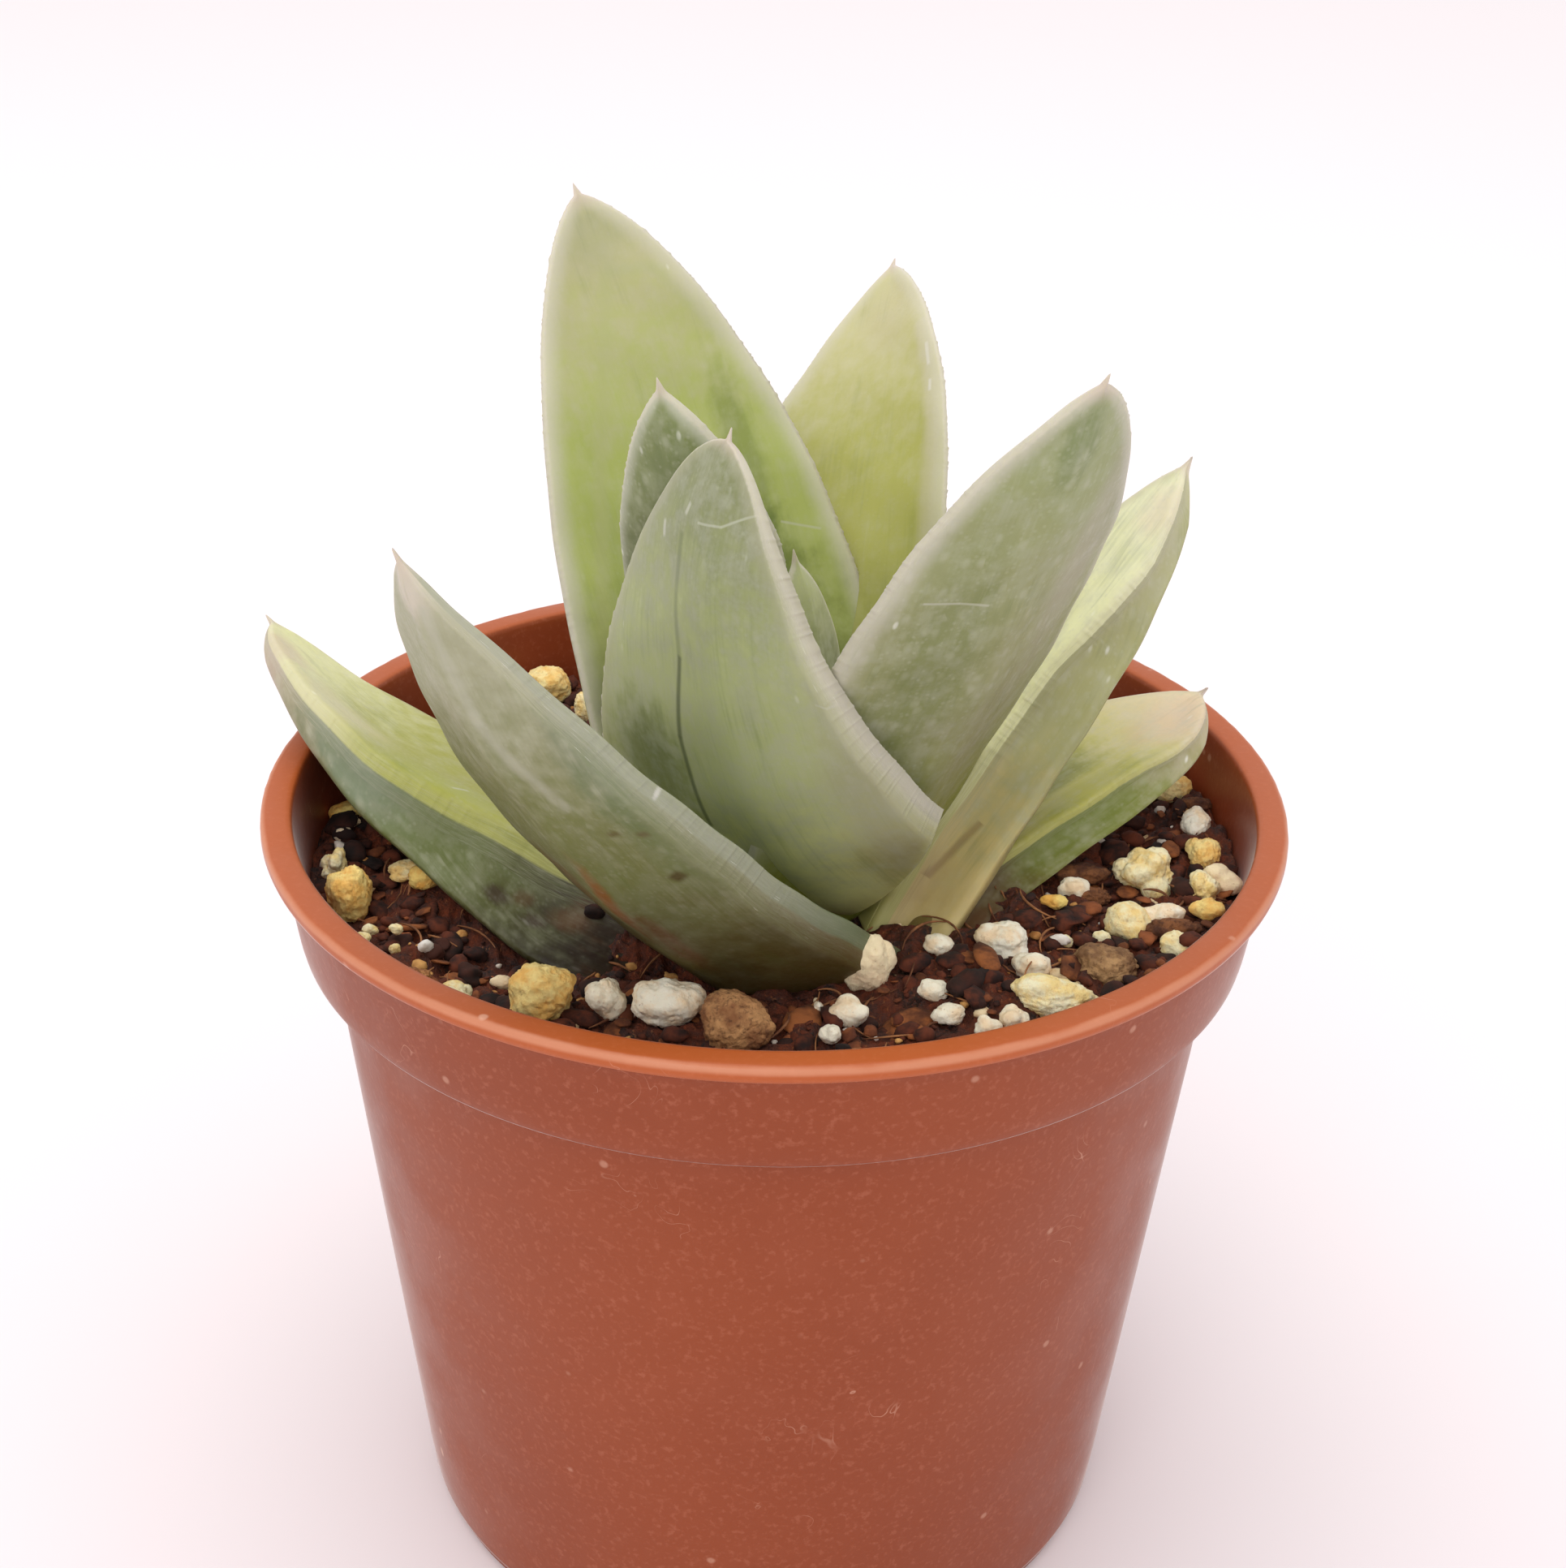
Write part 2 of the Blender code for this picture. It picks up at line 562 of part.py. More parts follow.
def main():
    clear_scene()
    build_pot()
    soil = build_soil()
    build_stem()
    stem_room = build_stem(GAP, "_room")
    made = []
    rooms = []
    # The outer leaves clasp the inner ones, so each later leaf is trimmed by the earlier ones.
    for leaf in LEAVES:
        body = build_leaf(leaf)
        cut(body, stem_room)
        for other in rooms:
            cut(body, other)
        realise(body)
        made.append(body)
        rooms.append(build_leaf(leaf, GAP, "_room"))
    for room in rooms:
        cut(soil, room)
    cut(soil, stem_room)
    # The stem stands in a plain hole that is open to the surface between the leaves.
    hole = round_bar("stem_hole_room", (STEM_X, STEM_Y, STEM_TOP - 3.0), (STEM_X, STEM_Y, 72.0), STEM_RADIUS + 1.2, 20)
    cut(soil, cutter(hole))
    beds = []
    for grain in GRIT:
        build_grit(grain)
        beds.append(build_grit(grain, GAP, "_bed"))
    for bed in beds:
        cut(soil, bed)
    realise(soil)
    remove_tools([obj.name for obj in bpy.data.objects if obj.name.endswith(("_room", "_bed"))])


main()
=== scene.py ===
import json
import math
import random
from collections import namedtuple
from types import SimpleNamespace

import bmesh
import bpy
import numpy as np
from mathutils import Matrix, Vector, noise

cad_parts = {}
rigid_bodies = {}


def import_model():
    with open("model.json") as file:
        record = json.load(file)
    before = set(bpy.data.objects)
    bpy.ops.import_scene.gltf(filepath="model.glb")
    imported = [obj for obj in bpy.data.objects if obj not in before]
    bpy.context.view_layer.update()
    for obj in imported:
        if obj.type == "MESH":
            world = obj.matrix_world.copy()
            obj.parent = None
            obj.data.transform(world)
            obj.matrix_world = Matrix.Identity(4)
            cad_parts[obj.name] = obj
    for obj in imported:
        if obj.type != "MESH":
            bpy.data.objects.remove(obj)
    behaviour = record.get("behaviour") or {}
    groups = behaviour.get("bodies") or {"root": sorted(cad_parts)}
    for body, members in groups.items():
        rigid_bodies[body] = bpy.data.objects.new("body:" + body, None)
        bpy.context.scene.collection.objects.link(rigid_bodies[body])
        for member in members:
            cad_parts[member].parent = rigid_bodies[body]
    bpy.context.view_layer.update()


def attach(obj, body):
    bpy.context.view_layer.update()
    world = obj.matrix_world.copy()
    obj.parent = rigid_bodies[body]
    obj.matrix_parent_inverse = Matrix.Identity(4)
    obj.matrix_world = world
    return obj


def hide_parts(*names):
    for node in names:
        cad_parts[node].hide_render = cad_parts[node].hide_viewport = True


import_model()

# Lengths are in millimetres, but for lights, camera, floor and material patterns in object space,
# which are in metres. MM turns millimetres into metres.
MM = 0.001

# The pot: its height, the height of its band and lip, and the height of the step below them.
POT_HEIGHT = 69.0
BAND_HEIGHT = 10.3
STEP_HEIGHT = POT_HEIGHT - BAND_HEIGHT
POT_SIDES = 300

# The mean height of the mix, and where the stem stands in it.
SOIL_LEVEL = 62.6
STEM_X = 4.0
STEM_Y = -6.5

# No crumb lies further out, or nearer to the stem.
CRUMB_REACH = 38.0
STEM_CLEARANCE = 9

# Leaf colours are darkened by this factor, which fits them to the photo under these lights.
LEAF_GAIN = 0.67

# Points across each face of a leaf, and rows of points to each millimetre of its length.
ACROSS = 31
ROWS_PER_MM = 6.5

# A curve over the length of a leaf that stays at 0.
LEVEL_CURVE = ((0.0, 0.0), (1.0, 0.0))

# The leaves. Pairs of angles, in degrees, are for foot and tip: azimuth is the way that the blade
# leans, lean its tilt and roll its turn about the midline. widest to taper and fullness shape the
# outline, thick to keel the cross-section. foot, foot_side and level place the foot, start cuts it
# slantwise and drift moves it aside. front is the side towards the photo's camera, where inset draws
# the margin in, and plump and swell round the face below it.
Leaf = namedtuple(
    "Leaf",
    "name length width azimuth lean roll widest foot_share taper foot level thick channel keel"
    " fullness foot_side start drift front plump inset swell",
    defaults=(0.8, None, (0.0, 0.0), (0.0, 0.0, 0.0), 1, 0.0, LEVEL_CURVE, LEVEL_CURVE))
LEAVES = [
    Leaf("leaf_front_left", 55, 24, (232, 206), (50, 27), (17, 12),
         0.55, 0.94, 1.85, 5.8, 60, 6, 0.1, 0.14),
    Leaf("leaf_front_centre", 47.6, 30.9, (240, 213.6), (51, -12.5), (26, -4),
         0.1, 0.95, 1.63, -2.3, 63.1, 5, 0.1, 0.17, fullness=0.52, start=(0, 0.32)),
    Leaf("leaf_low_left", 50.2, 21.9, (167.7, 140.5), (79.3, 63.6), (1, 38),
         0.55, 0.84, 2.4, 6.9, 60.5, 7.5, 0.1, 0.32, start=(-0.2, -0.2), plump=0.7,
         inset=((0, 6), (0.38, 5.5), (0.55, 3), (0.72, 1.2), (0.88, 0.3), (1, 0)),
         swell=((0, 6.5), (0.25, 5.5), (0.45, 2.7), (0.7, 1), (0.9, 0.8), (1, 0))),
    Leaf("leaf_front_right", 59.5, 23.5, (314, 307), (25, 31), (-4, -2),
         0.47, 0.82, 2.2, -1, 61.2, 5, 0.1, 0, fullness=0.7),
    Leaf("leaf_right", 45.7, 14.4, (16, 25), (32, 39), (-6, 5),
         0.47, 0.79, 2.25, 4.2, 59.7, 6.5, 0.1, 0.14, drift=(0, -8, 2), front=-1, plump=0.7,
         inset=((0, 6.2), (0.52, 6.2), (0.64, 4.6), (0.74, 2.4), (0.85, 1), (1, 0)),
         swell=((0, 0), (0.3, 0.3), (0.5, 0.7), (0.75, 0.9), (0.9, 1.3), (1, 0))),
    Leaf("leaf_low_right", 35.5, 18.2, (21, 38), (61, 77), (-7, -7),
         0.57, 0.75, 2.4, 5.4, 60.2, 4.6, 0.1, 0.08, drift=(1.5, -8, 1.5), front=-1, plump=0.6,
         inset=((0, 4.6), (0.64, 4.4), (0.8, 2), (1, 0)),
         swell=((0, 0), (0.6, 0.3), (0.85, 0.8), (1, 0))),
    Leaf("leaf_inner_left", 45.6, 18.9, (217, 218), (10.7, 18.9), (11, 26),
         0.46, 0.66, 1.95, 5.7, 63, 3, 0.1, 0.1, foot_side=135, plump=0.5,
         inset=((0, 6), (0.45, 5), (0.62, 1.5), (0.75, 0), (1, 0))),
    Leaf("leaf_tall_back_left", 61.5, 27.4, (124.5, 136), (23.8, 33.4), (-6, -16),
         0.28, 0.84, 2, 4.5, 60, 5, 0.15, 0.1, fullness=0.68),
    Leaf("leaf_back_right", 58.5, 20.6, (92, 72), (23, 60), (2, -41),
         0.54, 0.8, 2.5, 5.8, 60.4, 5, 0.15, 0.1),
    Leaf("leaf_heart", 30, 10.2, (330, 330), (-2, -8), (2, -4),
         0.48, 0.8, 2.4, 0.7, 62.1, 2, 0.1, 0.1, foot_side=180),
]

# Which face of a leaf a mark is on: the hollow upper one or the keeled lower one.
UPPER = 1.0
LOWER = 0.0

# Soft patches: distance from the midline and from the foot, reach across and along, then the face,
# the strength and the colour. Colours are sRGB values from 0 to 255.
PATCHES = {
    "leaf_tall_back_left": [
        # The first two patches, dark olive, are painted shade in the hollow beside the raised margin.
        (-6, 24, 4.5, 9, UPPER, 0.72, (100, 122, 36)),
        (-6.6, 36.5, 2.2, 9, UPPER, 0.45, (104, 124, 44)),
        (7, 30, 3, 12, UPPER, 0.25, (150, 166, 74)),
        (0, 57, 4, 4, UPPER, 0.35, (186, 188, 150)),
    ],
    "leaf_back_right": [(-1.5, 51, 4.5, 5, UPPER, 0.35, (224, 214, 168))],
    "leaf_inner_left": [(0, 38, 4, 8, LOWER, 0.25, (116, 130, 88))],
    "leaf_front_centre": [
        (-7.5, 20.5, 5, 6.5, LOWER, 0.6, (84, 102, 30)),
        (11.5, 9, 5, 8, LOWER, 0.45, (124, 98, 58)),
        (11.5, 20, 3, 14, LOWER, 0.35, (184, 174, 156)),
    ],
    "leaf_front_right": [
        (-5, 34, 4.5, 13, LOWER, 0.4, (116, 134, 62)),
        (-0.6, 54.5, 2.2, 4.5, LOWER, 0.45, (118, 138, 88)),
        (6.5, 44, 3.2, 16, LOWER, 0.5, (200, 192, 172)),
        (4, 25, 4, 10, LOWER, 0.3, (182, 172, 148)),
    ],
    "leaf_right": [
        (-1.7, 41, 3.2, 3.6, UPPER, 0.45, (255, 230, 204)),
        (-6.3, 5, 1, 4, LOWER, 0.3, (150, 110, 64)),
        (-3, 7, 4, 7, UPPER, 0.4, (146, 116, 72)),
    ],
    "leaf_low_right": [
        (-2.6, 31, 7, 6, UPPER, 0.6, (255, 222, 194)),
        (1, 18, 5, 7, UPPER, 0.6, (112, 126, 48)),
        # The yellow-green strip beside the front margin is a painted highlight on the rounded ridge there.
        (-7.4, 19, 2.4, 10, UPPER, 0.6, (206, 204, 96)),
        (-8.6, 15, 1.8, 9, LOWER, 0.55, (128, 146, 56)),
        (-7.8, 7.5, 3, 4, LOWER, 0.55, (104, 70, 38)),
    ],
    "leaf_front_left": [
        (1.8, 23.5, 1, 6, LOWER, 0.75, (170, 96, 44)),
        (3.2, 17.5, 1.2, 5, LOWER, 0.7, (150, 84, 38)),
        (9.8, 40, 2.4, 9, LOWER, 0.35, (108, 130, 108)),
        (11.45, 34.6, 0.1, 0.45, LOWER, 0.9, (244, 244, 236)),
        (11.6, 33.4, 0.1, 0.4, LOWER, 0.9, (244, 244, 236)),
        (11.5, 34.2, 0.1, 0.35, UPPER, 0.9, (244, 244, 236)),
        (-3, 23, 3.5, 5, LOWER, 0.6, (138, 92, 44)),
        (3, 17.5, 2.6, 5, LOWER, 0.45, (110, 84, 40)),
        (4.5, 11, 3, 4, LOWER, 0.45, (84, 62, 30)),
        (10.5, 34, 2.6, 13, LOWER, 0.4, (120, 138, 92)),
        (0.8, 53, 3, 3.5, LOWER, 0.6, (255, 240, 226)),
    ],
    "leaf_low_left": [
        (7.4, 37, 4.5, 7, UPPER, 0.65, (255, 246, 200)),
        (8, 26, 2.8, 7, UPPER, 0.65, (200, 206, 96)),
        (5, 45.5, 4.5, 4.5, UPPER, 0.6, (244, 216, 190)),
        (10.2, 33, 2.4, 9, LOWER, 0.55, (158, 174, 148)),
        (9.6, 23, 3.5, 6, LOWER, 0.55, (124, 138, 76)),
        (9.4, 17.1, 0.4, 1.5, LOWER, 0.8, (66, 42, 20)),
        (9.2, 13.6, 0.3, 1.2, LOWER, 0.8, (66, 40, 20)),
        (9.7, 15.4, 0.35, 1, LOWER, 0.45, (110, 70, 32)),
        (9.6, 11, 0.5, 2, LOWER, 0.55, (124, 72, 32)),
        (9.5, 7.5, 5, 3.5, LOWER, 0.8, (52, 30, 14)),
        (6.5, 45, 3.5, 4, LOWER, 0.6, (216, 190, 172)),
    ],
}

# Fine lines: points in the same coordinates, half width, softness, face, strength, colour.
LINES = {
    "leaf_tall_back_left": [
        (((0, 53.9), (6.1, 39.6), (11.2, 24.3), (11.4, 10)), 0.25, 0.9, UPPER, 0.45, (204, 208, 140)),
        (((0, 54), (-4.2, 53.2), (-8, 46)), 0.15, 0.7, UPPER, 0.35, (204, 206, 156)),
        (((-8.1, 30.1), (-11.3, 28.6)), 0.05, 0.12, UPPER, 0.5, (226, 226, 200)),
    ],
    "leaf_back_right": [
        (((-6.4, 49), (-8.6, 40), (-8.8, 26)), 0.6, 0.8, UPPER, 0.5, (226, 218, 184)),
        (((-7.2, 46.5), (-7.6, 44.5)), 0.12, 0.15, UPPER, 0.8, (248, 244, 228)),
        (((-7.9, 43), (-8, 42)), 0.1, 0.15, UPPER, 0.8, (248, 244, 228)),
    ],
    "leaf_front_centre": [
        # The first two lines, dark, are painted shade in a groove down the middle of the lower face.
        (((-2, 39.6), (-1.9, 30.7)), 0.1, 0.35, LOWER, 0.35, (104, 118, 78)),
        (((-1.9, 30.7), (-3.3, 24.1), (-3.7, 15.7)), 0.1, 0.3, LOWER, 0.7, (84, 96, 58)),
        (((0, 40.9), (2.6, 41.3), (5.4, 42.9)), 0.05, 0.1, LOWER, 0.6, (226, 228, 206)),
        (((10.4, 30), (12.4, 29.3)), 0.05, 0.1, LOWER, 0.6, (226, 228, 206)),
        (((-4.9, 39.6), (-4.6, 38.6)), 0.14, 0.16, LOWER, 0.7, (230, 230, 210)),
        (((-1.6, 41.8), (-1.9, 41)), 0.14, 0.16, LOWER, 0.7, (230, 230, 210)),
    ],
    "leaf_front_right": [
        (((-8, 40.2), (-5.2, 40.2), (-2.7, 39.9)), 0.05, 0.12, LOWER, 0.55, (226, 226, 206)),
    ],
    "leaf_front_left": [
        (((1.9, 51.3), (2.3, 46.8), (2.5, 42.4), (5.7, 34.6)), 0.2, 0.9, LOWER, 0.4, (212, 210, 190)),
        (((7.6, 32), (7.7, 31.7)), 0.35, 0.5, LOWER, 0.7, (108, 92, 52)),
        (((9.8, 31.8), (9.9, 31.4)), 0.3, 0.5, LOWER, 0.7, (108, 92, 52)),
        (((9, 26.5), (9.4, 25.9)), 0.55, 0.5, LOWER, 0.8, (92, 74, 36)),
    ],
    "leaf_low_left": [(((9, 24.8), (7.4, 24)), 0.1, 0.2, UPPER, 0.6, (236, 236, 210))],
    "leaf_right": [(((-6.2, 12), (-6.1, 6)), 0.04, 0.1, LOWER, 0.4, (128, 82, 44))],
}

# The colours of the foot, middle and tip on the upper and the lower face. The pale margin has the
# colour margin and the width edge, is full from a little above margin_from, and ridge is its strength
# on the front side. bloom to streaks are strengths of layers, and upper_gain replaces LEAF_GAIN.
Tint = namedtuple(
    "Tint", "upper lower margin edge bloom speck stain band horn streaks ridge margin_from upper_gain",
    defaults=(0.50, 0.75, 0.8, 1.0, 0.05, LEAF_GAIN))
TINTS = {
    "leaf_tall_back_left": Tint(
        ((128, 140, 62), (200, 212, 113), (215, 211, 156)),
        ((150, 156, 96), (158, 164, 116), (176, 178, 132)),
        (240, 234, 214), 1.5, 0.1, 0.18, 0.15, band=0.7, streaks=0.45),
    "leaf_back_right": Tint(
        ((150, 156, 80), (199, 199, 101), (229, 223, 166)),
        ((150, 156, 96), (158, 164, 116), (176, 178, 132)),
        (244, 238, 218), 1.5, 0.1, 0.15, 0.1, band=0.6, streaks=0.45),
    "leaf_inner_left": Tint(
        ((140, 150, 84), (160, 166, 110), (170, 176, 130)),
        ((128, 138, 86), (138, 145, 104), (159, 171, 104)),
        (240, 238, 222), 1, 0.25, 0.55, 0, band=0.6),
    "leaf_front_centre": Tint(
        ((130, 142, 70), (156, 162, 104), (170, 174, 128)),
        ((250, 250, 170), (212, 219, 158), (152, 158, 108)),
        (204, 200, 172), 1.3, 0.35, 0.3, 0.12),
    "leaf_front_right": Tint(
        ((130, 142, 70), (156, 162, 104), (170, 174, 128)),
        ((164, 169, 61), (179, 182, 131), (171, 181, 120)),
        (240, 234, 220), 1.2, 0.25, 0.45, 0, band=0.6),
    "leaf_heart": Tint(
        ((140, 150, 84), (160, 166, 110), (170, 176, 130)),
        ((140, 148, 98), (150, 156, 112), (224, 230, 165)),
        (206, 208, 172), 0.7, 0.25, 0.45, 0),
    "leaf_right": Tint(
        ((200, 196, 120), (250, 250, 194), (250, 250, 208)),
        ((244, 220, 150), (196, 194, 136), (196, 194, 150)),
        (218, 208, 172), 0.9, 0.16, 0.42, 0.15, band=0.45, ridge=0.25, margin_from=0.45, upper_gain=0.8),
    "leaf_low_right": Tint(
        ((176, 174, 96), (213, 209, 107), (250, 234, 189)),
        ((108, 80, 34), (152, 160, 74), (212, 196, 158)),
        (218, 202, 168), 0.9, 0.2, 0.35, 0.7, band=0.4, ridge=0.2, margin_from=0.5, upper_gain=0.76),
    "leaf_front_left": Tint(
        ((120, 136, 92), (146, 158, 122), (168, 172, 146)),
        ((118, 98, 44), (137, 142, 87), (189, 188, 153)),
        (206, 202, 178), 1.2, 0.1, 0.2, 0.3, band=0.16, horn=0.25),
    "leaf_low_left": Tint(
        ((150, 150, 84), (184, 185, 83), (250, 250, 185)),
        ((44, 24, 6), (106, 112, 44), (206, 194, 164)),
        (220, 208, 176), 0.8, 0.15, 0.3, 0.85, band=0.4, ridge=0.3, margin_from=0.55, upper_gain=0.8),
}

Grain = namedtuple("Grain", "name at size sink seed tone")

# The grains that have a solid of their own. The first word of the name is the kind, sink is the
# share of the height that lies below the heap, and tone goes from pale to warm.
GRIT = [
    Grain("pumice_front_left", (-17.6, -23.9), (5.5, 5, 5), 0.3, 3, 0.75),
    Grain("perlite_front_left", (-12.6, -24), (3.3, 3.3, 3.8), 0.35, 5, 0.35),
    Grain("perlite_cluster", (-8.1, -25.3), (5.8, 4.6, 4.2), 0.35, 8, 0.2),
    Grain("clay_lump", (-2.5, -28), (6.4, 5.4, 5), 0.42, 11, 0.6),
    Grain("perlite_upright", (7.5, -19.8), (4, 3.2, 5.8), 0.28, 14, 1),
    Grain("perlite_front_right", (18.5, -14.9), (4.9, 4, 3.8), 0.35, 17, 0.1),
    Grain("pumice_cream", (21.6, -24), (7, 4.4, 3.6), 0.4, 21, 0.1),
    Grain("clay_fuzzy", (26.3, -18.8), (5.6, 4.6, 3.6), 0.45, 25, 0.2),
    Grain("pumice_right_rough", (31.2, -4), (5.6, 4.6, 4.4), 0.35, 28, 0.2),
    Grain("pumice_right_orange", (36.4, -1), (3.2, 4.2, 3), 0.35, 31, 0.7),
    Grain("pumice_right_cream", (35.5, -7.4), (3, 3.6, 3.6), 0.35, 34, 0.15),
    Grain("perlite_right", (36.5, 4.6), (3.2, 3.4, 2.8), 0.35, 37, 0.1),
    Grain("pumice_right_wall", (35, 11), (4.4, 3.8, 3), 0.35, 40, 0.6),
    Grain("perlite_right_low", (31.4, -11.4), (3.6, 3, 2.6), 0.4, 43, 0.1),
    Grain("bark_right", (26, -6.6), (4.4, 2.4, 1.8), 0.45, 46, 0.5),
    Grain("pumice_left_orange", (-34.6, -9.4), (3.8, 4.6, 5.4), 0.3, 49, 0.8),
    Grain("pumice_left_wall", (-36.6, -4.2), (2.6, 3.2, 3), 0.35, 52, 0.1),
    Grain("pumice_left_flat", (-30.6, -4.6), (4, 3, 1.9), 0.4, 55, 0.4),
    Grain("clay_left", (-27.8, -21.6), (3, 2.8, 2.6), 0.4, 58, 0.9),
    Grain("pumice_front_crumb", (-24.2, -24.4), (3.2, 2.6, 2.4), 0.35, 61, 0.2),
    Grain("pumice_back_left", (-22, 28.6), (5.4, 4.4, 3.8), 0.1, 64, 0.6),
    Grain("pumice_back_crumb", (-17.4, 24.4), (3.6, 3.2, 3.6), 0.25, 67, 0.3),
    Grain("pumice_back_right", (27, 25.6), (4.4, 3.6, 3), 0.3, 70, 0.4),
]

# Small stones and bits of bark that have no solid of their own: place, size, and kind with tone.
WHITE = ("perlite", 0.25)
GREYISH = ("perlite", 1.0)
CREAM = ("pumice", 0.2)
ORANGE = ("pumice", 0.8)
RUSTY = ("pumice", 0.9)
BARK = ("bark", 0.5)
SMALL_GRIT = [
    (13.2, -16.2, 2.6, WHITE), (12.5, -22.5, 2.4, WHITE), (13.6, -25.4, 2.7, WHITE),
    (5.9, -25.4, 3.2, WHITE), (4.5, -28.3, 2.3, WHITE), (24.9, -6.4, 2.8, WHITE),
    (24.0, -2.8, 1.3, WHITE), (20.4, -19.1, 3.5, WHITE), (18.2, -26.7, 3.2, WHITE),
    (16.2, -27.8, 2.2, WHITE), (3.6, -23.9, 1.1, WHITE), (26.4, -13.9, 1.5, CREAM),
    (23.4, -14.1, 1.7, CREAM), (37.2, -5.1, 3.8, GREYISH), (35.2, -11.2, 3.0, ORANGE),
    (31.9, -16.1, 3.2, CREAM), (28.6, -11.9, 4.2, CREAM), (23.1, -9.5, 2.0, RUSTY),
    (25.9, -3.7, 4.6, BARK), (29.1, -13.1, 3.4, BARK), (31.9, -13.9, 5.0, BARK),
    (34.6, 14.8, 3.2, ORANGE), (36.9, 8.0, 3.0, BARK), (-37.6, 5.1, 3.2, RUSTY),
    (-36.9, 1.1, 2.0, WHITE), (-28.9, -6.4, 2.6, RUSTY), (-32.3, -14.0, 1.5, CREAM),
    (-32.5, -15.6, 1.4, CREAM), (-29.7, -17.3, 1.2, CREAM), (-30.1, -13.9, 1.4, CREAM),
    (-24.2, -23.0, 2.6, CREAM), (-20.8, -21.3, 1.8, GREYISH), (-20.6, 29.3, 2.6, ORANGE),
]

# By kind of grain: how many balls it is grown from, how rough it is, and how strong its bump is.
LUMPS_BY_KIND = {"perlite": 7, "pumice": 4, "clay": 5, "bark": 3}
ROUGH_BY_KIND = {"perlite": 0.045, "pumice": 0.06, "clay": 0.065, "bark": 0.09}
BUMP_BY_KIND = {"perlite": 0.6, "pumice": 0.9, "clay": 1.0, "bark": 1.0}

Crumb = namedtuple("Crumb", "name count low high seed flat fineness slot look dark light scale")

# Crumbs strewn over the mix: number, least and greatest size, seed, flatness, subdivisions of the
# ball, slot, and then the name, the darkest and lightest colour and the scale of the material.
CRUMBS = [
    Crumb("peat_crumbs", 1500, 0.5, 2.4, 11, 0.8, 2, "potting_mix",
          "peat_look", (34, 12, 7), (104, 47, 23), 900.0),
    Crumb("dark_clods", 110, 1.6, 3.4, 16, 0.8, 3, "potting_mix",
          "clod_look", (22, 8, 5), (66, 28, 14), 700.0),
    Crumb("bark_chips", 200, 1.0, 3.4, 17, 0.35, 2, "potting_mix",
          "chip_look", (84, 42, 20), (158, 92, 46), 900.0),
    Crumb("golden_crumbs", 260, 0.3, 1.4, 18, 0.9, 2, "potting_mix",
          "golden_look", (164, 108, 54), (222, 168, 98), 1200.0),
    Crumb("rusty_crumbs", 420, 0.4, 1.8, 12, 0.6, 2, "potting_mix",
          "rusty_look", (92, 44, 22), (150, 84, 44), 900.0),
    Crumb("cream_crumbs", 150, 0.3, 1.5, 13, 0.9, 2, "pumice",
          "cream_look", (196, 160, 112), (238, 216, 176), 1200.0),
    Crumb("white_crumbs", 110, 0.3, 1.7, 14, 0.9, 2, "perlite",
          "white_look", (214, 200, 184), (242, 236, 228), 1200.0),
]

# The fibres: number, seed, how far out they begin, their lengths, half thickness, and points.
FIBRE = SimpleNamespace(
    count=320, seed=15, reach=37.0, shortest=1.5, longest=6.0, thick=0.10, rings=10, sides=5)


def linear(colour, gain=1):
    # An sRGB colour from 0 to 255 as a linear one with alpha, times the gain.
    made = []
    for part in colour:
        share = part / 255
        value = share / 12.92 if share <= 0.04045 else ((share + 0.055) / 1.055) ** 2.4
        made.append(min(1, value * gain))
    return (made[0], made[1], made[2], 1)


